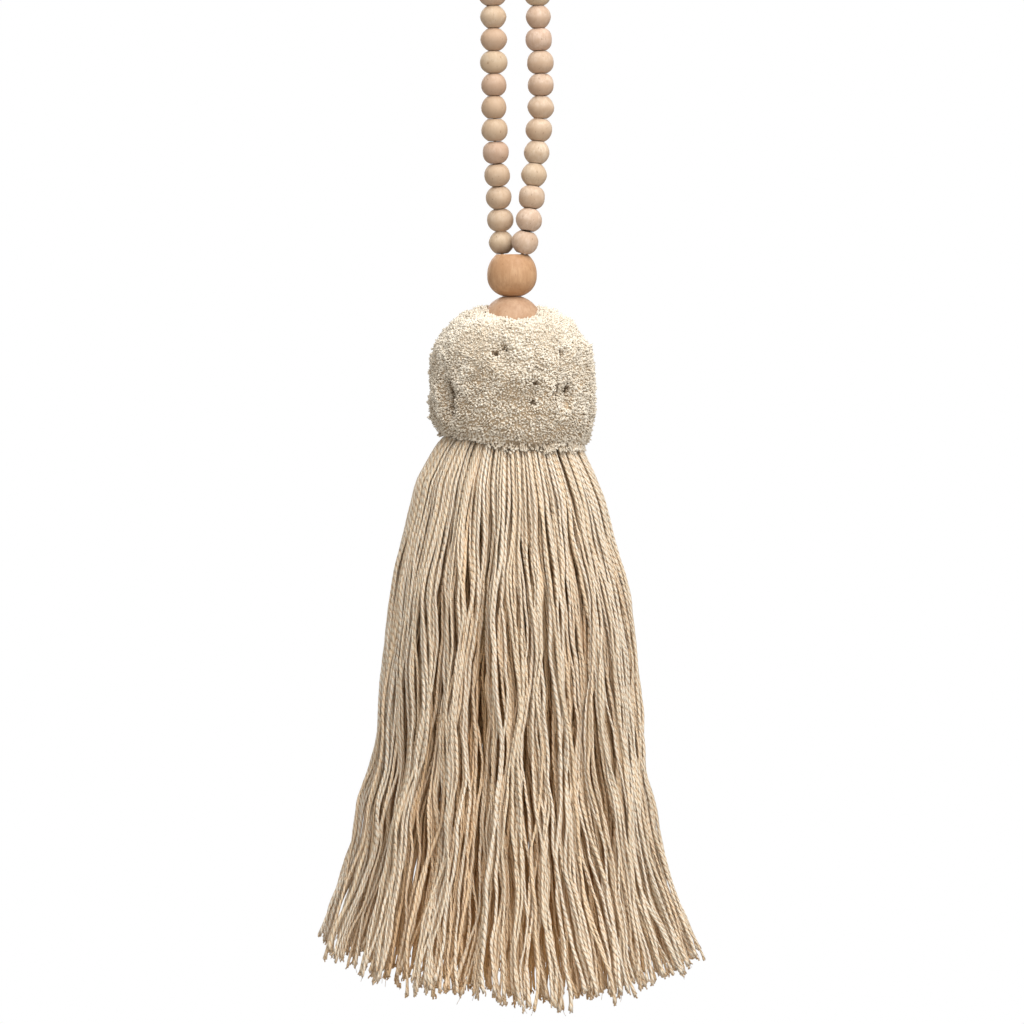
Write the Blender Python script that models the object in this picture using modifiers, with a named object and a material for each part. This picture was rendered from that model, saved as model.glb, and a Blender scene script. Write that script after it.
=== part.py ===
"""Pompom tassel on a loop of wooden beads, as it hangs from a hook.

Sizes are in metres, +Z is up, +X is to the right of someone facing the tassel, and its front faces -Y.
The origin is the point inside the top of the loop where the hook bears. A drop is a depth below it.
"""

import math
import random

import bmesh
import bpy
from mathutils import Matrix, Vector, noise

MM = 0.001
GAP = 0.3 * MM  # left between pieces that touch on the real tassel

# Small beads: turned beads with flat drilled ends
BEAD_RADIUS = 4.0 * MM
BEAD_LENGTH = 6.55 * MM
BEAD_FLAT = 2.0 * MM  # radius of the flat at each end
BEAD_BORE = 1.0 * MM
BEAD_SIDES = 8
BEAD_BANDS = 4

# Large beads
UPPER_RADIUS = 7.5 * MM
UPPER_LENGTH = 12.6 * MM
UPPER_DISH = 4.4 * MM  # radius of the dished mouth that both ends of the cord enter
UPPER_DISH_DEPTH = 3.1 * MM
DISH_RIM = 0.35 * MM  # width of the flat rim round that mouth
LOWER_RADIUS = 9.1 * MM
LOWER_LENGTH = 16.0 * MM
LARGE_FLAT = 2.75 * MM
LARGE_BORE = 1.9 * MM
LARGE_SIDES = 16
LARGE_BANDS = 6

# Loop: two legs of beads, joined over the top by three beads a sixth of a turn apart
BEADS_PER_LEG = 20
TOP_BEADS = 3
TOP_JOINT_RADIUS = 9.2 * MM  # from the middle of the bend to the joints between its beads
TOP_BEND_DROP = 4.0 * MM  # the middle of the bend, below the hook
CORD_RADIUS = 0.5 * MM
CORD_APART = 0.75 * MM  # of each end of the cord from the axis, inside the large beads

# Route of the two legs, in millimetres: each leg's place to the side, and how far the left one stands
# behind the middle and the right one in front of it
LEGS = (
    {"drop": 4.0, "left": -9.2, "right": 9.2, "apart": 0.0},
    {"drop": 30.0, "left": -7.8, "right": 8.6, "apart": 0.0},
    {"drop": 62.0, "left": -5.9, "right": 7.8, "apart": 0.0},
    {"drop": 96.0, "left": -5.4, "right": 8.9, "apart": 0.0},
    {"drop": 110.0, "left": -5.1, "right": 7.5, "apart": 0.4},
    {"drop": 124.0, "left": -4.0, "right": 6.0, "apart": 1.6},
    {"drop": 134.0, "left": -3.5, "right": 4.7, "apart": 2.6},
    {"drop": 141.0, "left": -3.1, "right": 3.3, "apart": 2.1},
)

# Pompom
POMPOM_DROP = 180.0 * MM
POMPOM_RADIUS = 24.4 * MM
POMPOM_DEPTH = 0.97  # its front-to-back size as a share of its width
POMPOM_UP = 22.4 * MM
POMPOM_DOWN = 23.0 * MM
POMPOM_LEAN = 0.12  # it hangs lower on the right, by this share of the way out
UPPER_SQUARENESS = 2.5
LOWER_SQUARENESS = 3.8
POMPOM_LOCKS = 124
LOCK_RISE = (1.0 * MM, 2.0 * MM)
LOCK_INSET = 0.12 * MM
LOCK_TIP = 0.66  # width of a lock's tip as a share of its root
LOCK_FREE_TOP = 13.0 * MM  # no lock nearer to the sunk bead than this
LOCK_LOWEST = -13.0 * MM  # nor below this, where the skirt comes out
RECESS_RADIUS = 19.5 * MM  # of the hollow that takes the skirt's head
RECESS_DEPTH = 16.0 * MM
RECESS_FLARE = 0.2  # how far the hollow widens for each step down

# Lumps of the pile: how many to the pompom's radius, and their height in millimetres
LUMPS = (
    {"waves": 2.6, "height": 1.0},
    {"waves": 6.0, "height": 0.6},
)

# Partings in the pile, where tufts have sunk: bearing in degrees from the front, positive to the right,
# height above the pompom's middle, reach and depth in millimetres
PARTINGS = (
    {"bearing": -54.0, "height": -3.5, "reach": 4.6, "depth": 1.9},
    {"bearing": -54.0, "height": -8.0, "reach": 4.6, "depth": 1.9},
    {"bearing": -10.0, "height": 9.6, "reach": 4.4, "depth": 1.7},
    {"bearing": 17.0, "height": -4.0, "reach": 3.8, "depth": 1.3},
    {"bearing": 41.0, "height": -3.4, "reach": 4.8, "depth": 1.9},
    {"bearing": 38.0, "height": 8.4, "reach": 3.8, "depth": 1.3},
    {"bearing": 118.0, "height": 3.0, "reach": 4.6, "depth": 1.6},
    {"bearing": -150.0, "height": -5.0, "reach": 4.8, "depth": 1.8},
)

# Skirt: a bound head with the strands hanging from it, on a square layout that is mapped to a disc
HEAD_DROP = 195.5 * MM  # underside of the head
HEAD_RADIUS = 18.6 * MM
HEAD_THICKNESS = 3.0 * MM
STRANDS_ACROSS = 13
STRAND_INSET = 0.3 * MM
STRAND_ROOM = 0.88  # of a cell's width that the map to a disc leaves at its narrowest
SKIRT_DEPTH = 0.94  # its front-to-back size as a share of its width
STRAND_SWELL = 0.56  # how much of the skirt's spread a strand's own width takes up
STRAND_TIP = 0.7  # width of the cut end as a share of the strand
STRAND_WANDER = 0.34  # a strand's own sideways drift as a share of the room around it
SWAY = 0.055  # how far neighbouring strands sway together, as a share of the skirt's radius
SWAY_WAVES = 1.6  # of that sway across the skirt's radius
HEM_DROP = 361.5 * MM  # of the strands in the middle
HEM_RISE = 2.6 * MM  # how much sooner the outermost strands end, because they hang at a slant
HEM_UNEVEN = 1.6 * MM
OUTER_LEVELS = (201.5, 206.5, 219.0, 252.0, 298.0, 330.0, 361.5)
SECOND_LEVELS = (201.5, 206.5, 224.0, 300.0, 361.5)
INNER_LEVELS = (201.5, 258.0, 361.5)

# Outline of the skirt, in millimetres from the axis
SKIRT = (
    {"drop": 195.5, "left": 18.6, "right": 18.6},
    {"drop": 201.5, "left": 21.4, "right": 20.5},
    {"drop": 206.5, "left": 26.6, "right": 24.2},
    {"drop": 216.0, "left": 30.6, "right": 28.4},
    {"drop": 234.0, "left": 35.0, "right": 33.2},
    {"drop": 265.0, "left": 39.2, "right": 38.6},
    {"drop": 302.0, "left": 45.3, "right": 42.8},
    {"drop": 339.0, "left": 55.5, "right": 51.4},
    {"drop": 361.5, "left": 59.8, "right": 60.0},
)

FINISHES = {
    "yarn": {"color": (0.62, 0.50, 0.36), "roughness": 0.9},
    "pile": {"color": (0.72, 0.63, 0.49), "roughness": 0.95},
    "pale wood": {"color": (0.66, 0.50, 0.38), "roughness": 0.6},
    "honey wood": {"color": (0.68, 0.43, 0.25), "roughness": 0.5},
    "cord": {"color": (0.50, 0.40, 0.30), "roughness": 0.9},
}


def clear_scene():
    for thing in list(bpy.data.objects):
        bpy.data.objects.remove(thing)


def new_collection(name):
    made = bpy.data.collections.new(name)
    bpy.context.scene.collection.children.link(made)
    return made


def finish_material(name):
    """A Principled material with this finish's colour, made once."""
    found = bpy.data.materials.get(name)
    if found:
        return found
    made = bpy.data.materials.new(name)
    made.use_nodes = True
    shader = made.node_tree.nodes["Principled BSDF"]
    shader.inputs["Base Color"].default_value = (*FINISHES[name]["color"], 1.0)
    shader.inputs["Roughness"].default_value = FINISHES[name]["roughness"]
    shader.inputs["Metallic"].default_value = 0.0
    return made


def add_object(name, data, collection, finish=None):
    made = bpy.data.objects.new(name, data)
    collection.objects.link(made)
    if finish and not data.materials:
        data.materials.append(finish_material(finish))
    return made


def smooth_between(rows, column, drop):
    """The column's value, in metres, on a smooth curve through the rows' millimetres."""
    places = [row["drop"] * MM for row in rows]
    values = [row[column] * MM for row in rows]
    if drop <= places[0]:
        return values[0]
    if drop >= places[-1]:
        return values[-1]
    i = next(k for k in range(len(places) - 1) if drop <= places[k + 1])
    span = places[i + 1] - places[i]
    t = (drop - places[i]) / span

    def slope(k):
        before, after = max(k - 1, 0), min(k + 1, len(places) - 1)
        return (values[after] - values[before]) / (places[after] - places[before])

    return (
        values[i] * (1 + 2 * t) * (1 - t) ** 2
        + values[i + 1] * t * t * (3 - 2 * t)
        + span * slope(i) * t * (1 - t) ** 2
        - span * slope(i + 1) * t * t * (1 - t)
    )


# Beads


def turned_mesh(name, profile):
    """A mesh that a Screw modifier turns about Z: the closed profile, down its outer side first."""
    mesh = bpy.data.meshes.new(name)
    count = len(profile)
    edges = [(i, (i + 1) % count) for i in range(count)]
    mesh.from_pydata([(radius, 0.0, height) for radius, height in profile], edges, [])
    return mesh


def add_turned(thing, sides):
    screw = thing.modifiers.new("turn", "SCREW")
    screw.steps = sides
    screw.render_steps = sides
    screw.use_merge_vertices = True
    screw.merge_threshold = 0.00001
    screw.use_smooth_shade = True


def round_profile(radius, length, flat, bands):
    """The outer side of a bead, from the rim of its top flat to the rim of its bottom one."""
    half = length / 2
    end = math.acos(flat / radius)
    points = []
    for i in range(bands + 1):
        angle = end * (1 - 2 * i / bands)
        points.append((radius * math.cos(angle), half * math.sin(angle) / math.sin(end)))
    return points


def bored_bead_mesh(name, radius, length, flat, bore, bands):
    outside = round_profile(radius, length, flat, bands)
    inside = [(bore, -length / 2), (bore, length / 2)]
    return turned_mesh(name, outside + inside)


def upper_bead_mesh():
    """The bead under the loop. Its mouth is dished, to take both ends of the cord."""
    half = UPPER_LENGTH / 2
    outside = round_profile(UPPER_RADIUS, UPPER_LENGTH, LARGE_FLAT, LARGE_BANDS)
    outside[0] = (UPPER_DISH + DISH_RIM, half)
    inside = [
        (LARGE_BORE, -half),
        (LARGE_BORE, half - UPPER_DISH_DEPTH),
        (UPPER_DISH, half),
    ]
    return turned_mesh("upper bead", outside + inside)


def leg_joints(side):
    """The points between a leg's beads, from the top down."""
    sign = 1 if side == "left" else -1
    joints = []
    step = BEAD_LENGTH + GAP
    for i in range(BEADS_PER_LEG + 1):
        drop = TOP_BEND_DROP + i * step
        joints.append(
            Vector(
                (
                    smooth_between(LEGS, side, drop),
                    sign * smooth_between(LEGS, "apart", drop),
                    -drop,
                )
            )
        )
    return joints


def top_joints():
    """The points between the beads of the bend, from the left leg over to the right one."""
    joints = []
    for i in range(TOP_BEADS + 1):
        angle = math.pi * (1 - i / TOP_BEADS)
        joints.append(
            Vector(
                (
                    TOP_JOINT_RADIUS * math.cos(angle),
                    0.0,
                    TOP_JOINT_RADIUS * math.sin(angle) - TOP_BEND_DROP,
                )
            )
        )
    return joints


def thread_beads(names, joints, mesh, collection):
    """One bead between each two joints, with its bore on the line between them."""
    for name, start, end in zip(names, joints, joints[1:]):
        bead = add_object(name, mesh, collection, "pale wood")
        add_turned(bead, BEAD_SIDES)
        bead.rotation_mode = "QUATERNION"
        bead.location = (start + end) / 2
        bead.rotation_quaternion = (start - end).to_track_quat("Z", "Y")


def build_beads(collection):
    mesh = bored_bead_mesh(
        "small bead", BEAD_RADIUS, BEAD_LENGTH, BEAD_FLAT, BEAD_BORE, BEAD_BANDS
    )
    for side in ("left", "right"):
        names = [f"bead_{side}_{i + 1:02d}" for i in range(BEADS_PER_LEG)]
        thread_beads(names, leg_joints(side), mesh, collection)
    names = [f"bead_top_{i + 1}" for i in range(TOP_BEADS)]
    thread_beads(names, top_joints(), mesh, collection)

    upper = add_object("large_bead_upper", upper_bead_mesh(), collection, "honey wood")
    add_turned(upper, LARGE_SIDES)
    upper.location.z = -upper_bead_drop()
    lower_mesh = bored_bead_mesh(
        "lower bead", LOWER_RADIUS, LOWER_LENGTH, LARGE_FLAT, LARGE_BORE, LARGE_BANDS
    )
    lower = add_object("large_bead_lower", lower_mesh, collection, "honey wood")
    add_turned(lower, LARGE_SIDES)
    lower.location.z = -lower_bead_drop()


def legs_end_drop():
    return TOP_BEND_DROP + BEADS_PER_LEG * (BEAD_LENGTH + GAP)


def upper_bead_drop():
    return legs_end_drop() + GAP + UPPER_LENGTH / 2


def lower_bead_drop():
    return upper_bead_drop() + UPPER_LENGTH / 2 + GAP + LOWER_LENGTH / 2


# Cord


def build_cord(collection):
    """Up through the large beads, round the loop and down again, with both ends on the skirt's head."""
    foot = -(HEAD_DROP - HEAD_THICKNESS - GAP)
    throat = -(upper_bead_drop() - UPPER_LENGTH / 2 + UPPER_DISH_DEPTH)
    left_end = [Vector((-CORD_APART, 0.0, z)) for z in (foot, throat)]
    right_end = [Vector((CORD_APART, 0.0, z)) for z in (throat, foot)]
    route = left_end + leg_joints("left")[::-1] + top_joints()[1:-1]
    route += leg_joints("right") + right_end
    curve = bpy.data.curves.new("loop_cord", "CURVE")
    curve.dimensions = "3D"
    curve.bevel_depth = CORD_RADIUS
    curve.bevel_resolution = 2
    curve.use_fill_caps = True
    spline = curve.splines.new("POLY")
    spline.points.add(len(route) - 1)
    for point, place in zip(spline.points, route):
        point.co = (*place, 1.0)
    add_object("loop_cord", curve, collection, "cord")


# Pompom


def squared_reach(direction):
    """Where the pompom's plain outline lies in this direction from its middle."""
    out = math.hypot(direction.x, direction.y / POMPOM_DEPTH) / POMPOM_RADIUS
    upper = direction.z > 0
    power = UPPER_SQUARENESS if upper else LOWER_SQUARENESS
    height = POMPOM_UP if upper else POMPOM_DOWN * (1 + POMPOM_LEAN * direction.x)
    return (out**power + (abs(direction.z) / height) ** power) ** (-1 / power)


def parting_middle(parting):
    bearing = math.radians(parting["bearing"])
    height = parting["height"] * MM
    out = math.sqrt(POMPOM_RADIUS**2 - height**2)
    return Vector((out * math.sin(bearing), -out * math.cos(bearing), height))


def pile_surface(direction):
    """A point of the pompom's body: the plain outline with lumps, sunk at the partings."""
    reach = squared_reach(direction)
    for lump in LUMPS:
        reach += lump["height"] * MM * noise.noise(direction * lump["waves"])
    place = direction * reach
    for parting in PARTINGS:
        near = (place - parting_middle(parting)).length / (parting["reach"] * MM)
        if near < 1:
            reach -= parting["depth"] * MM * (1 - near * near)
    return direction * reach


def lock_faces(mesh, rng):
    """Faces that share no corner, so that the locks on them stand apart."""
    taken, chosen = set(), []
    faces = list(mesh.faces)
    rng.shuffle(faces)
    for face in faces:
        middle = face.calc_center_median()
        beside_bead = middle.z > 0 and math.hypot(middle.x, middle.y) < LOCK_FREE_TOP
        corners = {corner.index for corner in face.verts}
        if beside_bead or middle.z < LOCK_LOWEST or corners & taken:
            continue
        taken |= corners
        chosen.append(face)
        if len(chosen) == POMPOM_LOCKS:
            break
    return chosen


def raise_locks(mesh):
    rng = random.Random(11)
    chosen = lock_faces(mesh, rng)
    bmesh.ops.inset_individual(mesh, faces=chosen, thickness=LOCK_INSET)
    for face in bmesh.ops.extrude_discrete_faces(mesh, faces=chosen)["faces"]:
        face.normal_update()
        middle = face.calc_center_median()
        lift = face.normal * rng.uniform(*LOCK_RISE)
        for corner in face.verts:
            corner.co = middle + (corner.co - middle) * LOCK_TIP + lift


def pompom_cutters(collection):
    """What the pile makes room for: the sunk bead, the cord and the skirt's head."""
    room = 1.5 * GAP
    bpy.ops.mesh.primitive_uv_sphere_add(segments=20, ring_count=12, radius=1.0)
    socket = bpy.context.object
    socket.name = "bead socket cutter"
    size = (LOWER_RADIUS + room, LOWER_RADIUS + room, LOWER_LENGTH / 2 + 2 * room)
    socket.data.transform(Matrix.Diagonal((*size, 1.0)))
    socket.location.z = -lower_bead_drop()

    bpy.ops.mesh.primitive_cylinder_add(vertices=12, radius=LARGE_BORE, depth=40.0 * MM)
    bore = bpy.context.object
    bore.name = "cord cutter"
    bore.location.z = -POMPOM_DROP

    bpy.ops.mesh.primitive_cone_add(
        vertices=36,
        radius1=RECESS_RADIUS + RECESS_FLARE * RECESS_DEPTH,
        radius2=RECESS_RADIUS,
        depth=RECESS_DEPTH,
    )
    recess = bpy.context.object
    recess.name = "head cutter"
    recess.location.z = -(HEAD_DROP - HEAD_THICKNESS - GAP + RECESS_DEPTH / 2)
    cutters = (socket, bore, recess)
    for cutter in cutters:
        for home in list(cutter.users_collection):
            home.objects.unlink(cutter)
        collection.objects.link(cutter)
        cutter.hide_render = True
        cutter.display_type = "WIRE"
    return cutters


def build_pompom(collection, cutter_collection):
    bpy.ops.mesh.primitive_ico_sphere_add(subdivisions=4, radius=1.0)
    sphere = bpy.context.object
    mesh = bmesh.new()
    mesh.from_mesh(sphere.data)
    bpy.data.objects.remove(sphere)
    for corner in mesh.verts:
        corner.co = pile_surface(corner.co.normalized())
    mesh.normal_update()
    raise_locks(mesh)
    data = bpy.data.meshes.new("pompom")
    mesh.to_mesh(data)
    mesh.free()
    pompom = add_object("pompom", data, collection, "pile")
    pompom.location.z = -POMPOM_DROP
    for cutter in pompom_cutters(cutter_collection):
        cut = pompom.modifiers.new(cutter.name, "BOOLEAN")
        cut.operation = "DIFFERENCE"
        cut.object = cutter


# Skirt


def square_to_disc(x, y):
    """Maps the square from -1 to 1 onto the unit disc, keeping areas even."""
    if x == 0 and y == 0:
        return Vector((0.0, 0.0))
    if abs(x) >= abs(y):
        radius, angle = x, math.pi / 4 * (y / x)
    else:
        radius, angle = y, math.pi / 2 - math.pi / 4 * (x / y)
    return Vector((radius * math.cos(angle), radius * math.sin(angle)))


def across_skirt(place, drop):
    """Where a place of the unit disc lies in the skirt at this drop."""
    left = smooth_between(SKIRT, "left", drop)
    right = smooth_between(SKIRT, "right", drop)
    side = left if place.x < 0 else right
    return Vector((place.x * side, place.y * SKIRT_DEPTH * (left + right) / 2, -drop))


def head_mesh():
    """The bound head: a disc of square cells, with its underside ready to grow strands."""
    mesh = bmesh.new()
    bmesh.ops.create_grid(mesh, x_segments=STRANDS_ACROSS, y_segments=STRANDS_ACROSS, size=1.0)
    for corner in mesh.verts:
        place = square_to_disc(corner.co.x, corner.co.y) * HEAD_RADIUS
        corner.co = Vector((place.x, place.y * SKIRT_DEPTH, -HEAD_DROP))
    underside = list(mesh.faces)
    bmesh.ops.reverse_faces(mesh, faces=underside)
    made = bmesh.ops.extrude_face_region(mesh, geom=underside, use_keep_orig=True)["geom"]
    for part in made:
        if isinstance(part, bmesh.types.BMVert):
            part.co.z += HEAD_THICKNESS
    bmesh.ops.recalc_face_normals(mesh, faces=mesh.faces)
    return mesh


def swayed(place, down):
    """Neighbouring strands sway together, from the head down, so no straight gaps run through."""
    reach = SWAY * min(1.0, 3 * down)
    waves = SWAY_WAVES * math.tau
    turn = 2.0 * down
    return place + reach * Vector(
        (math.sin(waves * place.y + turn), math.sin(waves * place.x + 1.0 - turn))
    )


def strand_course(place, rng):
    """The strand's place and width at each of its levels, from the root to the cut end."""
    out = min(place.length, 1.0)
    ring = int((1.0 - out) * STRANDS_ACROSS / 2)
    levels = (OUTER_LEVELS, SECOND_LEVELS, INNER_LEVELS)[min(ring, 2)]
    hem = HEM_DROP - HEM_RISE * out * out + rng.uniform(-HEM_UNEVEN, HEM_UNEVEN)
    stretch = (hem - HEAD_DROP) / (HEM_DROP - HEAD_DROP)
    cell = 2 * HEAD_RADIUS / STRANDS_ACROSS * STRAND_ROOM
    phase, turn = rng.uniform(0, math.tau), rng.uniform(1.0, 2.2)
    course = []
    for level in levels:
        drop = HEAD_DROP + (level * MM - HEAD_DROP) * stretch
        down = (drop - HEAD_DROP) / (hem - HEAD_DROP)
        spread = smooth_between(SKIRT, "left", drop) / HEAD_RADIUS
        swell = 1 + STRAND_SWELL * (spread - 1)
        angle = phase + turn * math.tau * down
        drift = Vector((math.cos(angle), math.sin(angle), 0.0)) * STRAND_WANDER
        drift *= cell * (spread - swell)
        course.append((across_skirt(swayed(place, down), drop) + drift, swell))
    return course


def build_skirt(collection):
    rng = random.Random(5)
    mesh = head_mesh()
    strand_number = mesh.faces.layers.int.new("strand")
    middle_of_head = -HEAD_DROP + HEAD_THICKNESS / 2
    roots = [
        face
        for face in mesh.faces
        if face.normal.z < -0.9 and face.calc_center_median().z < middle_of_head
    ]
    bmesh.ops.inset_individual(mesh, faces=roots, thickness=STRAND_INSET)
    courses, sections = [], []
    for number, face in enumerate(roots):
        face[strand_number] = number
        middle = face.calc_center_median()
        place = Vector((middle.x, middle.y / SKIRT_DEPTH)) / HEAD_RADIUS
        courses.append(strand_course(place, rng))
        sections.append([corner.co - middle for corner in face.verts])
    growing = roots
    for level in range(len(OUTER_LEVELS)):
        growing = [face for face in growing if level < len(courses[face[strand_number]])]
        growing = bmesh.ops.extrude_discrete_faces(mesh, faces=growing)["faces"]
        for face in growing:
            number = face[strand_number]
            place, swell = courses[number][level]
            if level == len(courses[number]) - 1:
                swell *= STRAND_TIP
            for corner, offset in zip(face.verts, sections[number]):
                corner.co = place + offset * swell
    data = bpy.data.meshes.new("skirt")
    mesh.to_mesh(data)
    mesh.free()
    add_object("skirt", data, collection, "yarn")


def main():
    clear_scene()
    tassel = new_collection("pompom tassel")
    cutters = new_collection("cutters")
    build_beads(tassel)
    build_cord(tassel)
    build_pompom(tassel, cutters)
    build_skirt(tassel)


main()
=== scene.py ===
"""Pompom tassel on a loop of wooden beads: its finished look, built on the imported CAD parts.

Lengths are in metres, +Z is up and the front faces -Y. The origin is where the hook bears, inside the
top of the loop. A drop is a depth below it.
"""

import math

import bpy
import numpy as np
from bpy.props import FloatProperty, FloatVectorProperty, IntProperty, PointerProperty
from mathutils import Matrix, Vector, noise


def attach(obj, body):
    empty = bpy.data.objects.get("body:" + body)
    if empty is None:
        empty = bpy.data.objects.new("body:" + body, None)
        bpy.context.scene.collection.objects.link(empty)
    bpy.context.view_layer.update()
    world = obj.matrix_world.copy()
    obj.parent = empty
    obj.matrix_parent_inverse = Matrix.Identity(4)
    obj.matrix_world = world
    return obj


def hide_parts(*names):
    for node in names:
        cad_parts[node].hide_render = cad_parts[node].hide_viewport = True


bl_info = {
    "name": "Pompom Tassel",
    "version": (1, 0, 0),
    "blender": (4, 5, 0),
    "location": "View3D > Sidebar > Tassel",
    "description": "Builds a cotton pompom tassel that hangs on a loop of wooden beads",
    "category": "Add Mesh",
}

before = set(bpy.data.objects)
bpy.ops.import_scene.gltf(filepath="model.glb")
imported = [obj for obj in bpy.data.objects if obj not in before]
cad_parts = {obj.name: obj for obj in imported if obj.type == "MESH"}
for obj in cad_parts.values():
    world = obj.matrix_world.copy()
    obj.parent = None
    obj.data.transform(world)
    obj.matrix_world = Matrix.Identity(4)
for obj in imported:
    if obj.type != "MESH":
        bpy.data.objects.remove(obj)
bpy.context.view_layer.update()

MM = 0.001
GAP = 0.3 * MM  # left between pieces that touch on the real tassel
GOLDEN_ANGLE = math.pi * (3 - math.sqrt(5))

# Small beads: turned beads with flat drilled ends
BEAD_RADIUS = 4.0 * MM
BEAD_LENGTH = 6.55 * MM
BEAD_BORE = 1.0 * MM

# Large beads
UPPER_RADIUS = 7.5 * MM
UPPER_LENGTH = 12.6 * MM
UPPER_DISH = 4.4 * MM
UPPER_DISH_DEPTH = 3.1 * MM
DISH_RIM = 0.35 * MM
LOWER_RADIUS = 9.1 * MM
LOWER_LENGTH = 16.0 * MM
LARGE_FLAT = 2.75 * MM
LARGE_BORE = 1.9 * MM

# Loop: two legs of beads, joined over the top by three beads a sixth of a turn apart
BEADS_PER_LEG = 20
TOP_BEADS = 3
TOP_JOINT_RADIUS = 9.2 * MM
TOP_BEND_DROP = 4.0 * MM
CORD_RADIUS = 0.5 * MM
CORD_APART = 0.75 * MM

# Route of the two legs, in millimetres: each leg's place to the side, and how far the left one stands
# behind the middle and the right one in front of it
LEGS = (
    {"drop": 4.0, "left": -9.2, "right": 9.2, "apart": 0.0},
    {"drop": 30.0, "left": -7.8, "right": 8.6, "apart": 0.0},
    {"drop": 62.0, "left": -5.9, "right": 7.8, "apart": 0.0},
    {"drop": 96.0, "left": -5.4, "right": 8.9, "apart": 0.0},
    {"drop": 110.0, "left": -5.1, "right": 7.5, "apart": 0.4},
    {"drop": 124.0, "left": -4.0, "right": 6.0, "apart": 1.6},
    {"drop": 134.0, "left": -3.5, "right": 4.7, "apart": 2.6},
    {"drop": 141.0, "left": -3.1, "right": 3.3, "apart": 2.1},
)

# Pompom
POMPOM_DROP = 180.0 * MM
POMPOM_RADIUS = 24.4 * MM
POMPOM_DEPTH = 0.97
POMPOM_UP = 22.4 * MM
POMPOM_DOWN = 23.0 * MM
POMPOM_LEAN = 0.12
UPPER_SQUARENESS = 2.5
LOWER_SQUARENESS = 3.8
TOP_LIGHT_HEIGHT = 14.0 * MM  # above the pompom's middle, from where the tufts are painted lightest, with the least painted shade at their roots, as under light from above
PILE_GAP = 0.4 * MM  # between the skirt and the pile that hangs over it
LOWEST_PILE_DROP = 201.5 * MM
TUFT_SHADES = (0.05, 0.05, 0.05, 0.05, 0.05, 1.8, 0.0)  # painted shade of its rim, its root and the middle of its cut, darkest at the root, between the tufts

# Lumps of the pile: how many to the pompom's radius, and their height in millimetres
LUMPS = (
    {"waves": 2.6, "height": 1.0},
    {"waves": 6.0, "height": 0.6},
)

# Partings in the pile, where tufts have sunk: bearing in degrees from the front, positive to the right,
# height above the pompom's middle, reach and depth in millimetres
PARTINGS = (
    {"bearing": -54.0, "height": -3.5, "reach": 4.6, "depth": 1.9},
    {"bearing": -54.0, "height": -8.0, "reach": 4.6, "depth": 1.9},
    {"bearing": -10.0, "height": 9.6, "reach": 4.4, "depth": 1.7},
    {"bearing": 17.0, "height": -4.0, "reach": 3.8, "depth": 1.3},
    {"bearing": 41.0, "height": -3.4, "reach": 4.8, "depth": 1.9},
    {"bearing": 38.0, "height": 8.4, "reach": 3.8, "depth": 1.3},
    {"bearing": 118.0, "height": 3.0, "reach": 4.6, "depth": 1.6},
    {"bearing": -150.0, "height": -5.0, "reach": 4.8, "depth": 1.8},
)

# Holes between the tufts, down to the roots, painted dark there as shade: half their width and half their
# height, in millimetres
HOLES = (
    {"bearing": -52.5, "height": -5.1, "across": 1.3, "tall": 5.4},
    {"bearing": -7.0, "height": 10.6, "across": 0.9, "tall": 1.0},
    {"bearing": -13.4, "height": 8.9, "across": 0.95, "tall": 1.0},
    {"bearing": 34.0, "height": -2.6, "across": 1.0, "tall": 1.9},
    {"bearing": 45.0, "height": -2.2, "across": 1.0, "tall": 1.7},
    {"bearing": 17.4, "height": 0.1, "across": 0.75, "tall": 0.8},
    {"bearing": 16.0, "height": -5.9, "across": 0.7, "tall": 1.0},
    {"bearing": 39.8, "height": 8.9, "across": 0.7, "tall": 1.1},
    {"bearing": 118.0, "height": 3.0, "across": 0.9, "tall": 1.7},
    {"bearing": -150.0, "height": -5.0, "across": 1.0, "tall": 2.4},
    {"bearing": 172.0, "height": 7.0, "across": 0.8, "tall": 1.0},
    {"bearing": -98.0, "height": 4.0, "across": 0.8, "tall": 1.3},
)

# Skirt
HEAD_DROP = 195.5 * MM
HEAD_RADIUS = 18.6 * MM
HEAD_THICKNESS = 3.0 * MM
SKIRT_DEPTH = 0.94
HEM_DROP = 361.5 * MM
SIDE_HEM_RISE = 8.2 * MM
FRONT_HEM_RISE = 0.2 * MM
LEFT_HEM_RISE = 3.0 * MM  # more on the left half, where the skirt is cut shorter

# Outline of the skirt, in millimetres from the axis
SKIRT = (
    {"drop": 195.5, "left": 19.2, "right": 19.2},
    {"drop": 198.0, "left": 22.2, "right": 21.0},
    {"drop": 201.5, "left": 24.9, "right": 22.2},
    {"drop": 206.5, "left": 27.6, "right": 24.6},
    {"drop": 210.4, "left": 29.6, "right": 26.4},
    {"drop": 216.6, "left": 31.2, "right": 28.8},
    {"drop": 228.9, "left": 34.4, "right": 31.8},
    {"drop": 241.2, "left": 37.4, "right": 35.6},
    {"drop": 253.5, "left": 38.8, "right": 38.2},
    {"drop": 278.1, "left": 41.7, "right": 40.6},
    {"drop": 296.6, "left": 44.2, "right": 42.4},
    {"drop": 308.9, "left": 48.6, "right": 44.8},
    {"drop": 321.2, "left": 50.8, "right": 47.2},
    {"drop": 333.5, "left": 55.0, "right": 50.4},
    {"drop": 345.8, "left": 59.4, "right": 55.2},
    {"drop": 358.1, "left": 63.0, "right": 60.4},
    {"drop": 361.5, "left": 63.6, "right": 61.2},
)

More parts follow.
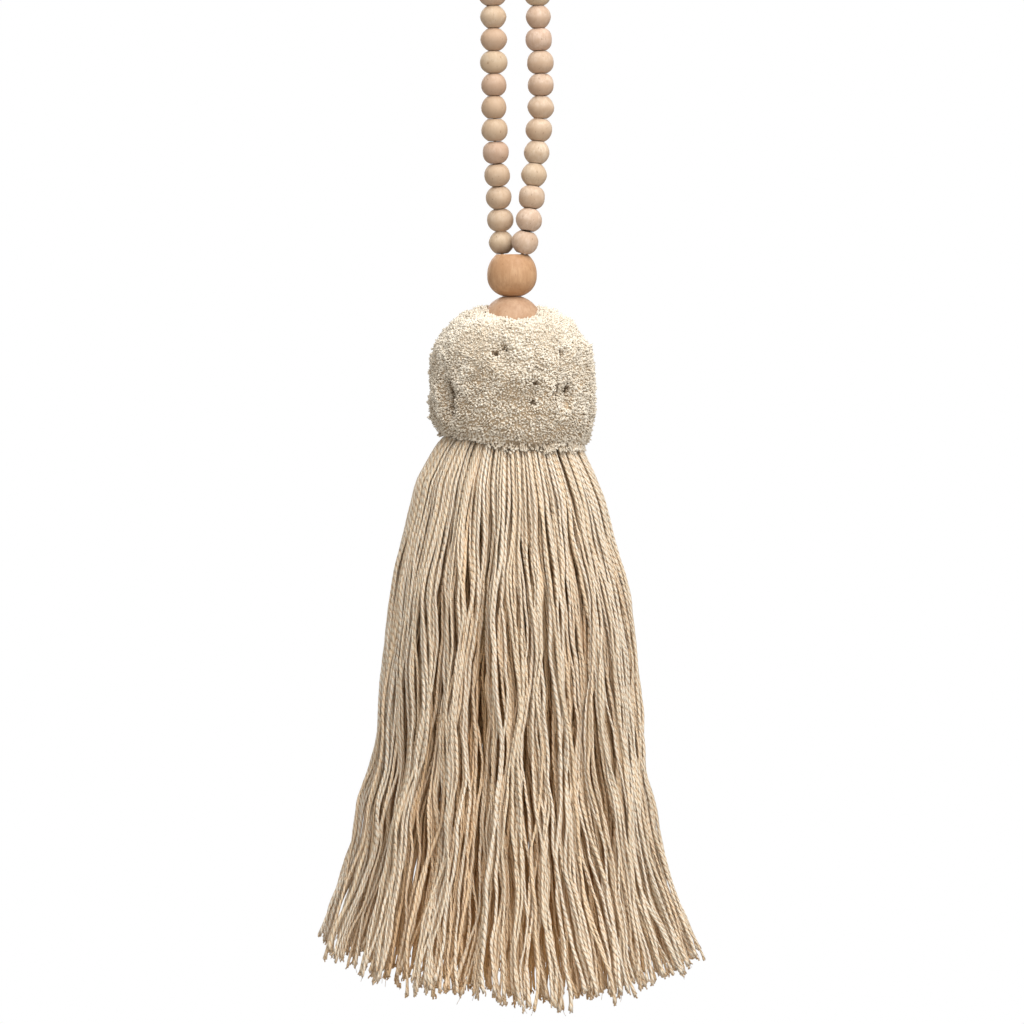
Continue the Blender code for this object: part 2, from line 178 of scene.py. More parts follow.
# How far the pile hangs over the skirt: bearing in degrees and drop of its lower edge in millimetres
PILE_EDGE = (
    {"bearing": -180.0, "drop": 198.4},
    {"bearing": -110.0, "drop": 196.4},
    {"bearing": -70.0, "drop": 195.6},
    {"bearing": -40.0, "drop": 196.6},
    {"bearing": -22.0, "drop": 197.8},
    {"bearing": -16.0, "drop": 199.2},
    {"bearing": -4.0, "drop": 200.4},
    {"bearing": 25.0, "drop": 200.8},
    {"bearing": 60.0, "drop": 200.8},
    {"bearing": 90.0, "drop": 201.0},
    {"bearing": 130.0, "drop": 200.0},
    {"bearing": 180.0, "drop": 198.4},
)
FRONT_DIP = 3.6 * MM  # how much lower the pile lies in front of the sunk bead than behind it

FOLD_DEPTH = 0.078  # of the skirt's reach, where its strands have sunk between thicker bunches
PARTING_DEPTH = 0.07  # more than that at the partings below
LOOSE_EDGE = 0.03  # of the skirt's reach, how far the loose strands of its left side stand clear

# Partings in the skirt: bearing from the front and half width in degrees, positive to the right, and
# how far down each begins and ends, where the hem is 1
VALLEYS = (
    {"bearing": -14.0, "width": 3.4, "begin": 0.1, "end": 1.1},
    {"bearing": -29.0, "width": 3.0, "begin": 0.55, "end": 0.9},
    {"bearing": 151.0, "width": 3.4, "begin": 0.2, "end": 1.1},
)

# How the strands lie through the skirt, from the head (down 0) to the hem (down 1): how evenly they
# fill it, where 1 is evenly and less crowds them towards its outside, and how far they wander
LAY = (
    {"down": 0.0, "even": 1.0, "wander": 0.0},
    {"down": 0.06, "even": 0.6, "wander": 0.15},
    {"down": 0.25, "even": 0.2, "wander": 0.7},
    {"down": 0.7, "even": 0.16, "wander": 1.0},
    {"down": 1.0, "even": 0.34, "wander": 1.25},
)

# Stage: the lamps are square, and each one's power is given beside the key light's
PICTURE_WIDTH = 1024 * 0.3077 * MM  # what the picture shows from side to side at the tassel's axis
CAMERA_TARGET = (0.0, 0.0, -0.2203)
LAMP_TARGET = (0.0, 0.0, -0.22)
LAMPS = (
    {"name": "key", "place": (0.36, -0.66, 0.9), "size": 1.1, "power": 1.0},
    {"name": "front fill", "place": (0.4, -1.5, 0.1), "size": 1.0, "power": 0.33},
    {"name": "back fill", "place": (-0.5, 1.6, 0.4), "size": 1.2, "power": 0.6},
)


# Settings


def count_setting(name, description, default, low, high):
    return IntProperty(name=name, description=description, default=default, min=low, max=high)


def length_setting(name, description, default, low, high):
    """A length, given in millimetres and kept in metres."""
    return FloatProperty(
        name=name,
        description=description,
        default=default * MM,
        min=low * MM,
        max=high * MM,
        precision=5,
        unit="LENGTH",
    )


def colour_setting(name, description, default):
    return FloatVectorProperty(
        name=name,
        description=description,
        default=default,
        min=0.0,
        max=1.0,
        size=3,
        subtype="COLOR",
    )


class TasselYarnSettings(bpy.types.PropertyGroup):
    """The twisted yarn of the skirt."""

    outer_strands: count_setting("Outer Strands", "Strands on the outside of the skirt", 600, 30, 640)
    inner_strands: count_setting("Inner Strands", "Strands that fill the skirt behind them", 280, 60, 400)
    width: length_setting("Yarn Width", "Width across both plies of the yarn", 1.12, 0.5, 3.0)
    pitch: length_setting("Twist Pitch", "Length of one full turn of the two plies", 4.6, 1.0, 8.0)
    wander: length_setting("Wander", "How far a strand swings to the side on its way", 1.3, 0.0, 4.0)
    clumps: count_setting("Clumps", "Bunches that the strands gather into near the hem", 58, 8, 200)
    uneven: length_setting("Uneven Hem", "How much the cut ends differ in height", 1.5, 0.0, 6.0)
    colour: colour_setting("Yarn Colour", "Colour of the lit side of the yarn", (0.79, 0.74, 0.65))
    # Painted shade: the warm brown laid on strands deep in the skirt, in its folds, on its head and on the
    # cut ends
    painted_shade_colour: colour_setting("Deep Yarn Colour", "Colour deep in the skirt", (0.78, 0.47, 0.205))


class TasselPompomSettings(bpy.types.PropertyGroup):
    """The cut pile of the pompom."""

    tufts: count_setting("Tufts", "Cut tufts over the whole ball", 23500, 500, 26000)
    tuft_width: length_setting("Tuft Width", "Width of a tuft's cut tip", 0.71, 0.2, 3.0)
    rise: length_setting("Pile Rise", "How far the cut tips stand off the ball's body", 0.85, 0.0, 4.0)
    colour: colour_setting("Pile Colour", "Colour of the cut tips", (0.79, 0.735, 0.64))
    # Painted shade: the colour laid on the tufts' roots and down in the holes between them
    painted_shade_colour: colour_setting("Root Colour", "Colour between the tufts", (0.46, 0.35, 0.235))


class TasselBeadSettings(bpy.types.PropertyGroup):
    """The wooden beads and the cord that they are threaded on."""

    small_sides: count_setting("Small Bead Sides", "Sides round each bead of the loop", 24, 8, 64)
    large_sides: count_setting("Large Bead Sides", "Sides round each of the large beads", 56, 16, 128)
    small_colour: colour_setting("Small Bead Colour", "Colour of the pale wood", (0.655, 0.56, 0.455))
    large_colour: colour_setting("Large Bead Colour", "Colour of the honey wood", (0.54, 0.335, 0.205))
    cord_colour: colour_setting("Cord Colour", "Colour of the cord between the beads", (0.33, 0.24, 0.16))


class TasselStageSettings(bpy.types.PropertyGroup):
    """Camera and studio light."""

    camera_distance: FloatProperty(
        name="Camera Distance",
        description="From the lens to the tassel's axis",
        default=1.1,
        min=0.3,
        max=10.0,
        unit="LENGTH",
    )
    camera_lift: FloatProperty(
        name="Camera Lift",
        description="How far the camera looks down",
        default=math.radians(4.0),
        min=math.radians(-45.0),
        max=math.radians(80.0),
        subtype="ANGLE",
        unit="ROTATION",
    )
    key_power: FloatProperty(
        name="Key Light",
        description="Strength of the large soft light at the upper right",
        default=20.0,
        min=0.0,
        max=500.0,
        unit="POWER",
    )
    ambient: FloatProperty(
        name="Ambient",
        description="Strength of the even light from all round",
        default=0.68,
        min=0.0,
        max=5.0,
    )


# Shared mesh work


def share_past(value, start, reach):
    """How far the value has come from the start to the reach beyond it, from 0 to 1."""
    return np.clip((value - start) / reach, 0.0, 1.0)


def ring_faces(rings, sides):
    """The faces between rings of points, where the last ring meets the first one again."""
    start = (np.arange(rings) * sides)[:, None]
    after_row = np.roll(start, -1, axis=0)
    side = np.arange(sides)[None, :]
    after = (side + 1) % sides
    faces = np.stack([start + side, after_row + side, after_row + after, start + after], axis=2)
    return faces.reshape(-1, 4)


def smooth_curve(rows, column, drops):
    """The column's value in metres at each drop, on a smooth curve through the rows' millimetres."""
    places = np.array([row["drop"] for row in rows]) * MM
    values = np.array([row[column] for row in rows]) * MM
    last = len(places) - 1
    before = np.maximum(np.arange(last + 1) - 1, 0)
    after = np.minimum(np.arange(last + 1) + 1, last)
    slopes = (values[after] - values[before]) / (places[after] - places[before])
    drops = np.clip(drops, places[0], places[-1])
    i = np.clip(np.searchsorted(places, drops, side="right") - 1, 0, last - 1)
    span = places[i + 1] - places[i]
    t = (drops - places[i]) / span
    upper = values[i] * (1 + 2 * t) * (1 - t) ** 2 + span * slopes[i] * t * (1 - t) ** 2
    lower = values[i + 1] * t * t * (3 - 2 * t) - span * slopes[i + 1] * t * t * (1 - t)
    return upper + lower


def new_mesh(name, places, *groups):
    """A smooth mesh of these places and of groups of faces, each an array with a row for each face."""
    mesh = bpy.data.meshes.new(name)
    corners = np.concatenate([group.ravel() for group in groups]).astype(np.int32)
    sizes = np.concatenate([np.full(len(group), group.shape[1]) for group in groups])
    starts = np.concatenate([[0], np.cumsum(sizes)[:-1]]).astype(np.int32)
    mesh.vertices.add(len(places))
    mesh.vertices.foreach_set("co", np.asarray(places, dtype=np.float32).ravel())
    mesh.loops.add(len(corners))
    mesh.loops.foreach_set("vertex_index", corners)
    mesh.polygons.add(len(starts))
    mesh.polygons.foreach_set("loop_start", starts)
    mesh.update(calc_edges=True)
    mesh.validate()
    mesh.shade_smooth()
    return mesh


def add_values(mesh, name, values):
    """A number for each corner point, or one for them all, for a material to read."""
    if np.ndim(values) == 0:
        values = np.full(len(mesh.vertices), values)
    made = mesh.attributes.new(name, "FLOAT", "POINT")
    made.data.foreach_set("value", np.asarray(values, dtype=np.float32).ravel())


def add_piece(name, mesh, finish, nodes=(), place=None):
    """A finished piece on the part's body, which stands for these CAD nodes."""
    missing = [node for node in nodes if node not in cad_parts]
    if missing:
        raise RuntimeError(f"{name}: the packed part has no node named {', '.join(missing)}")
    piece = bpy.data.objects.new(name, mesh)
    bpy.context.scene.collection.objects.link(piece)
    mesh.materials.append(finish)
    if place is not None:
        piece.matrix_world = place
    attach(piece, "root")
    if nodes:
        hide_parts(*nodes)
    return piece


def tube_points(paths, ridge, flat, turn, sides):
    """Rings of points round each path, ridge wide one way and flat the other, turned on the way."""
    along = np.gradient(paths, axis=1)
    along /= np.linalg.norm(along, axis=2, keepdims=True)
    ahead = np.cross(along, np.array([1.0, 0.0, 0.0]))
    ahead /= np.linalg.norm(ahead, axis=2, keepdims=True)
    right = np.cross(ahead, along)
    turn = turn[:, :, None]
    wide_way = np.sin(turn) * right + np.cos(turn) * ahead
    flat_way = np.cos(turn) * right - np.sin(turn) * ahead
    rings = []
    for side in range(sides):
        angle = math.tau * side / sides
        wide = (ridge * math.cos(angle))[:, :, None] * wide_way
        rings.append(paths + wide + (flat * math.sin(angle))[:, :, None] * flat_way)
    return np.stack(rings, axis=2)


def tube_faces(strands, rings, sides):
    """The sides of each strand, and its two ends."""
    start = np.arange(strands)[:, None, None] * rings * sides
    ring = np.arange(rings - 1)[None, :, None] * sides
    side = np.arange(sides)[None, None, :]
    after = (side + 1) % sides
    upper, lower = start + ring, start + ring + sides
    walls = np.stack([upper + side, lower + side, lower + after, upper + after], axis=3)
    first = (np.arange(strands) * rings * sides)[:, None]
    top = first + np.arange(sides)
    bottom = first + (rings - 1) * sides + np.arange(sides)[::-1]
    return walls.reshape(-1, 4), np.concatenate([top, bottom])


def tube_mesh(name, points):
    """One mesh of many strands, with how far round and how far along it, in millimetres, as its UVs."""
    strands, rings, sides = points.shape[:3]
    walls, ends = tube_faces(strands, rings, sides)
    mesh = new_mesh(name, points.reshape(-1, 3), walls, ends)
    middles = points.mean(axis=2)
    steps = np.linalg.norm(np.diff(middles, axis=1), axis=2)
    length = np.concatenate([np.zeros((strands, 1)), np.cumsum(steps, axis=1)], axis=1) / MM
    upper = np.broadcast_to(length[:, :-1, None], (strands, rings - 1, sides))
    lower = np.broadcast_to(length[:, 1:, None], (strands, rings - 1, sides))
    round_it = np.broadcast_to(np.arange(sides) / sides, upper.shape)
    corner_u = np.stack([round_it, round_it, round_it + 1 / sides, round_it + 1 / sides], axis=3)
    corner_v = np.stack([upper, lower, lower, upper], axis=3)
    wall_places = np.stack([corner_u, corner_v], axis=4).reshape(-1, 2)
    end_places = np.full((ends.size, 2), 0.5)
    unwrapped = mesh.uv_layers.new(name="strand")
    unwrapped.data.foreach_set("uv", np.concatenate([wall_places, end_places]).ravel())
    return mesh


# Materials


def new_material(name, roughness, sheen=0.0):
    made = bpy.data.materials.new(name)
    made.use_nodes = True
    shader = made.node_tree.nodes["Principled BSDF"]
    shader.inputs["Roughness"].default_value = roughness
    shader.inputs["Metallic"].default_value = 0.0
    shader.inputs["Sheen Weight"].default_value = sheen
    shader.inputs["Sheen Roughness"].default_value = 0.6
    return made, shader


def add_node(tree, kind, **settings):
    node = tree.nodes.new(kind)
    for name, value in settings.items():
        setattr(node, name, value)
    return node


def set_input(tree, node, name, value):
    """Links a socket, or sets a plain value."""
    socket = node.inputs[name]
    if isinstance(value, bpy.types.NodeSocket):
        tree.links.new(value, socket)
    elif isinstance(value, (tuple, list)) and socket.type == "RGBA":
        socket.default_value = (*value[:3], 1.0)
    else:
        socket.default_value = value


def math_node(tree, operation, first, second=0.5):
    node = add_node(tree, "ShaderNodeMath", operation=operation)
    set_input(tree, node, 0, first)
    set_input(tree, node, 1, second)
    return node.outputs[0]


def spread_node(tree, value, low, high, to_low=0.0, to_high=1.0):
    """Spreads a value's range over another."""
    node = add_node(tree, "ShaderNodeMapRange")
    set_input(tree, node, "Value", value)
    set_input(tree, node, "From Min", low)
    set_input(tree, node, "From Max", high)
    set_input(tree, node, "To Min", to_low)
    set_input(tree, node, "To Max", to_high)
    return node.outputs["Result"]


def mix_node(tree, share, first, second, blend="MIX"):
    node = add_node(tree, "ShaderNodeMix", data_type="RGBA", blend_type=blend)
    set_input(tree, node, 0, share)
    set_input(tree, node, 6, first)
    set_input(tree, node, 7, second)
    return node.outputs[2]


def stretch_node(tree, vector, scale, shift=None):
    node = add_node(tree, "ShaderNodeMapping")
    set_input(tree, node, "Vector", vector)
    set_input(tree, node, "Scale", scale)
    if shift is not None:
        set_input(tree, node, "Location", shift)
    return node.outputs["Vector"]


def noise_node(tree, vector, scale, detail=3.0, roughness=0.55, distortion=0.0):
    node = add_node(tree, "ShaderNodeTexNoise")
    set_input(tree, node, "Vector", vector)
    set_input(tree, node, "Scale", scale)
    set_input(tree, node, "Detail", detail)
    set_input(tree, node, "Roughness", roughness)
    set_input(tree, node, "Distortion", distortion)
    return node.outputs["Fac"]


def value_of(tree, name):
    """One of the numbers that add_values left on the mesh."""
    node = add_node(tree, "ShaderNodeAttribute", attribute_type="GEOMETRY", attribute_name=name)
    return node.outputs["Fac"]


def strand_place(tree):
    node = add_node(tree, "ShaderNodeUVMap", uv_map="strand")
    return node.outputs["UV"]


def object_place(tree):
    return add_node(tree, "ShaderNodeTexCoord").outputs["Object"]


def bump_node(tree, shader, height, distance):
    node = add_node(tree, "ShaderNodeBump")
    set_input(tree, node, "Strength", 1.0)
    set_input(tree, node, "Distance", distance)
    set_input(tree, node, "Height", height)
    tree.links.new(node.outputs["Normal"], shader.inputs["Normal"])


def new_group(name, inputs, outputs):
    """An empty node group that takes a place and these numbers, and gives out numbers."""
    group = bpy.data.node_groups.new(name, "ShaderNodeTree")
    group.interface.new_socket(name="Place", in_out="INPUT", socket_type="NodeSocketVector")
    for label, value in inputs.items():
        socket = group.interface.new_socket(name=label, in_out="INPUT", socket_type="NodeSocketFloat")
        socket.default_value = value
    for label in outputs:
        group.interface.new_socket(name=label, in_out="OUTPUT", socket_type="NodeSocketFloat")
    start = group.nodes.new("NodeGroupInput")
    end = group.nodes.new("NodeGroupOutput")
    return group, start.outputs, end.inputs


def cotton_fibre_group():
    """Fine fibres along a strand or tuft: a fleck from 0 to 1, and their height."""
    found = bpy.data.node_groups.get("Cotton Fibre")
    if found:
        return found
    scales = {"Fibre Scale": 1.0, "Patch Scale": 0.1}
    group, given, wanted = new_group("Cotton Fibre", scales, ("Fleck", "Height"))
    fine = noise_node(group, given["Place"], given["Fibre Scale"], 4.0, 0.65)
    patch = noise_node(group, given["Place"], given["Patch Scale"], 2.0, 0.5)
    patch = math_node(group, "MULTIPLY", patch, 0.4)
    both = math_node(group, "ADD", math_node(group, "MULTIPLY", fine, 0.6), patch)
    group.links.new(spread_node(group, both, 0.32, 0.68), wanted["Fleck"])
    group.links.new(fine, wanted["Height"])
    return group


def yarn_twist_group():
    """Two plies wound round each other: 0 between them and 1 on their crests."""
    found = bpy.data.node_groups.get("Yarn Twist")
    if found:
        return found
    group, given, wanted = new_group("Yarn Twist", {"Pitch": 2.6}, ("Crest",))
    parts = add_node(group, "ShaderNodeSeparateXYZ")
    group.links.new(given["Place"], parts.inputs[0])
    turns = math_node(group, "DIVIDE", parts.outputs["Y"], given["Pitch"])
    phase = math_node(group, "SUBTRACT", parts.outputs["X"], turns)
    wave = math_node(group, "SINE", math_node(group, "MULTIPLY", phase, math.tau))
    group.links.new(math_node(group, "ABSOLUTE", wave, 0.0), wanted["Crest"])
    return group


def wood_grain_group():
    """Long streaks with fine pores, along Z."""
    found = bpy.data.node_groups.get("Wood Grain")
    if found:
        return found
    scales = {"Streak Scale": 500.0, "Pore Scale": 2400.0}
    group, given, wanted = new_group("Wood Grain", scales, ("Streak", "Mottle", "Pores"))
    drawn_out = stretch_node(group, given["Place"], (1.0, 1.0, 0.22))
    streak = noise_node(group, drawn_out, given["Streak Scale"], 5.0, 0.6, 0.6)
    wide = math_node(group, "MULTIPLY", given["Streak Scale"], 0.3)
    mottle = noise_node(group, given["Place"], wide, 3.0, 0.5)
    pore_place = stretch_node(group, given["Place"], (1.0, 1.0, 0.35))
    pores = noise_node(group, pore_place, given["Pore Scale"], 1.0, 0.4)
    group.links.new(spread_node(group, streak, 0.36, 0.64), wanted["Streak"])
    group.links.new(spread_node(group, mottle, 0.44, 0.58), wanted["Mottle"])
    group.links.new(spread_node(group, pores, 0.70, 0.78), wanted["Pores"])
    return group


def place_group(tree, group, **inputs):
    node = tree.nodes.new("ShaderNodeGroup")
    node.node_tree = group
    for name, value in inputs.items():
        set_input(tree, node, name.replace("_", " "), value)
    return node.outputs


def scaled(colour, *factors):
    """The colour times one factor, or times one for each of its three parts."""
    if len(factors) == 1:
        factors = factors * 3
    return tuple(min(1.0, part * factor) for part, factor in zip(colour, factors))


def yarn_material(settings):
    """Cotton yarn, whose two plies are raised by bump, with painted shade between them and deep in the
    skirt.
    """
    name = "cotton yarn"
    found = bpy.data.materials.get(name)
    if found:
        return found
    made, shader = new_material(name, 0.9, 0.05)
    shader.inputs["Specular IOR Level"].default_value = 0.2
    tree = made.node_tree
    place = strand_place(tree)
    fibre_place = stretch_node(tree, place, (7.0, 1.0, 1.0))
    fibre = place_group(tree, cotton_fibre_group(), Place=fibre_place, Fibre_Scale=1.5, Patch_Scale=0.07)
    dark = scaled(settings.colour, 0.95, 0.85, 0.72)
    tone = mix_node(tree, value_of(tree, "tint"), dark, scaled(settings.colour, 1.05))
    tone = mix_node(tree, spread_node(tree, fibre["Fleck"], 0.0, 1.0, 0.0, 0.25), tone, scaled(dark, 0.84))
    crest = place_group(tree, yarn_twist_group(), Place=place, Pitch=settings.pitch / MM)["Crest"]
    hollow = math_node(tree, "POWER", math_node(tree, "SUBTRACT", 1.0, crest), 1.5)
    # Painted shade between the plies, in the hollows of the twist.
    painted_ply_shade = scaled(settings.colour, 0.86, 0.58, 0.33)
    tone = mix_node(tree, math_node(tree, "MULTIPLY", hollow, 0.8), tone, painted_ply_shade)
    # Painted shade, warm and brown, on strands deep in the skirt, in its folds, on its head and on the cut
    # ends.
    tone = mix_node(tree, value_of(tree, "depth"), tone, tuple(settings.painted_shade_colour))
    tree.links.new(tone, shader.inputs["Base Color"])
    raised = math_node(tree, "ADD", math_node(tree, "MULTIPLY", hollow, -2.0), fibre["Height"])
    bump_node(tree, shader, raised, 0.12 * MM)
    return made


def pile_material(settings):
    made, shader = new_material("cut cotton pile", 0.95, 0.1)
    shader.inputs["Specular IOR Level"].default_value = 0.2
    tree = made.node_tree
    place = object_place(tree)
    fibre = place_group(tree, cotton_fibre_group(), Place=place, Fibre_Scale=2600.0, Patch_Scale=260.0)
    dark = scaled(settings.colour, 0.84, 0.80, 0.74)
    tone = mix_node(tree, value_of(tree, "tint"), dark, scaled(settings.colour, 1.1))
    tone = mix_node(tree, spread_node(tree, fibre["Fleck"], 0.0, 1.0, 0.0, 0.3), tone, dark)
    # Painted shade at the tufts' roots and in the holes between them, less at the top.
    depth = value_of(tree, "depth")
    tone = mix_node(tree, depth, tone, tuple(settings.painted_shade_colour))
    # Darker painted shade down in the holes.
    hole = spread_node(tree, depth, 1.0, 2.0)
    tone = mix_node(tree, hole, tone, scaled(settings.painted_shade_colour, 0.62))
    tree.links.new(tone, shader.inputs["Base Color"])
    bump_node(tree, shader, fibre["Height"], 0.12 * MM)
    return made


def wood_material(name, colour, streak_scale, streak_share, roughness):
    made, shader = new_material(name, roughness)
    shader.inputs["Specular IOR Level"].default_value = 0.35
    tree = made.node_tree
    shift = add_node(tree, "ShaderNodeCombineXYZ")
    tint = value_of(tree, "tint")
    for axis, stride in enumerate((0.731, 0.417, 0.913)):
        set_input(tree, shift, axis, math_node(tree, "MULTIPLY", tint, stride))
    place = stretch_node(tree, object_place(tree), (1.0, 1.0, 1.0), shift.outputs[0])
    grain = place_group(tree, wood_grain_group(), Place=place, Streak_Scale=streak_scale, Pore_Scale=2400.0)
    pink = scaled(colour, 1.02, 0.93, 0.92)
    yellow = scaled(colour, 1.08, 1.10, 1.02)
    tone = mix_node(tree, value_of(tree, "warmth"), pink, yellow)
    # A darker colour for the grain's streaks and mottle, and for painted shade.
    grain_and_shade = mix_node(tree, 1.0, tone, (0.70, 0.59, 0.50), "MULTIPLY")
    tone = mix_node(tree, math_node(tree, "MULTIPLY", grain["Streak"], streak_share), tone, grain_and_shade)
    tone = mix_node(tree, math_node(tree, "MULTIPLY", grain["Mottle"], streak_share * 0.8), tone, grain_and_shade)
    # Painted shade over the whole bead, strongest on the left leg, away from the key light.
    tone = mix_node(tree, value_of(tree, "shade"), tone, grain_and_shade)
    # Painted shade on the lower half of the small beads, as under light from above, with a ragged edge from
    # the streaks.
    parts = add_node(tree, "ShaderNodeSeparateXYZ")
    tree.links.new(object_place(tree), parts.inputs[0])
    edge = math_node(tree, "MULTIPLY", grain["Streak"], 0.9 * MM)
    lower = spread_node(tree, math_node(tree, "ADD", parts.outputs["Z"], edge), 0.9 * MM, -0.1 * MM)
    tone = mix_node(tree, math_node(tree, "MULTIPLY", lower, value_of(tree, "lower_half_shade")), tone, grain_and_shade)
    # A darker colour for the pores, and for painted shade in the bore and at the rims of the flats, where
    # the beads meet.
    pores_and_shade = mix_node(tree, 1.0, tone, (0.42, 0.30, 0.22), "MULTIPLY")
    tone = mix_node(tree, math_node(tree, "MULTIPLY", grain["Pores"], 0.55), tone, pores_and_shade)
    tone = mix_node(tree, value_of(tree, "end"), tone, pores_and_shade)
    tree.links.new(tone, shader.inputs["Base Color"])
    rough = spread_node(tree, grain["Streak"], 0.0, 1.0, roughness - 0.06, roughness + 0.1)
    tree.links.new(rough, shader.inputs["Roughness"])
    streaks = math_node(tree, "MULTIPLY", grain["Streak"], -0.35)
    sunk = math_node(tree, "ADD", streaks, math_node(tree, "MULTIPLY", grain["Pores"], -1.0))
    bump_node(tree, shader, sunk, 0.06 * MM)
    return made


def cord_material(settings):
    made, shader = new_material("twisted cord", 0.9, 0.1)
    tree = made.node_tree
    place = strand_place(tree)
    crest = place_group(tree, yarn_twist_group(), Place=place, Pitch=2.2)["Crest"]
    fibre = place_group(tree, cotton_fibre_group(), Place=place, Fibre_Scale=2.0, Patch_Scale=0.2)
    hollow = math_node(tree, "SUBTRACT", 1.0, crest)
    colour = settings.cord_colour
    tone = mix_node(tree, fibre["Fleck"], scaled(colour, 0.8), tuple(colour))
    # Painted shade between the twisted plies.
    tone = mix_node(tree, math_node(tree, "MULTIPLY", hollow, 0.6), tone, scaled(colour, 0.35))
    tree.links.new(tone, shader.inputs["Base Color"])
    bump_node(tree, shader, crest, 0.1 * MM)
    return made


# Skirt


def lay(down, column):
    """The column's value at each share of the way down the skirt."""
    return np.interp(down, [row["down"] for row in LAY], [row[column] for row in LAY])


def nearest_clump(bearing, clump_bearings):
    """Which clump lies nearest to each bearing, and how far from it."""
    away = (clump_bearings[None, :] - bearing[:, None] + math.pi) % math.tau - math.pi
    nearest = np.argmin(np.abs(away), axis=1)
    return nearest, away[np.arange(len(bearing)), nearest]


def sink_folds(angle, down, folds):
    """Bearings drawn aside at the skirt's partings, and how far each point lies in a fold or parting."""
    hollow = np.zeros_like(angle)
    for fold in folds:
        around = 5 + math.floor(13 * fold[0])
        hollow += np.sin(around * angle + math.tau * (1.1 * (fold[1] - 0.5) * down + fold[2]))
    parted = np.zeros_like(angle)
    for valley in VALLEYS:
        middle = math.radians(valley["bearing"] - 90)
        away = (angle - middle + math.pi) % math.tau - math.pi
        near = np.exp(-((away / math.radians(valley["width"])) ** 2))
        near *= share_past(down, valley["begin"], 0.15) * share_past(-down, -valley["end"], 0.1)
        hollow += 3.0 * near
        parted = np.maximum(parted, near)
        angle = angle + 1.2 * away * near
    return angle, np.clip(hollow / 2.4, 0.0, 1.3) ** 1.5 * share_past(down, 0.1, 0.3), parted


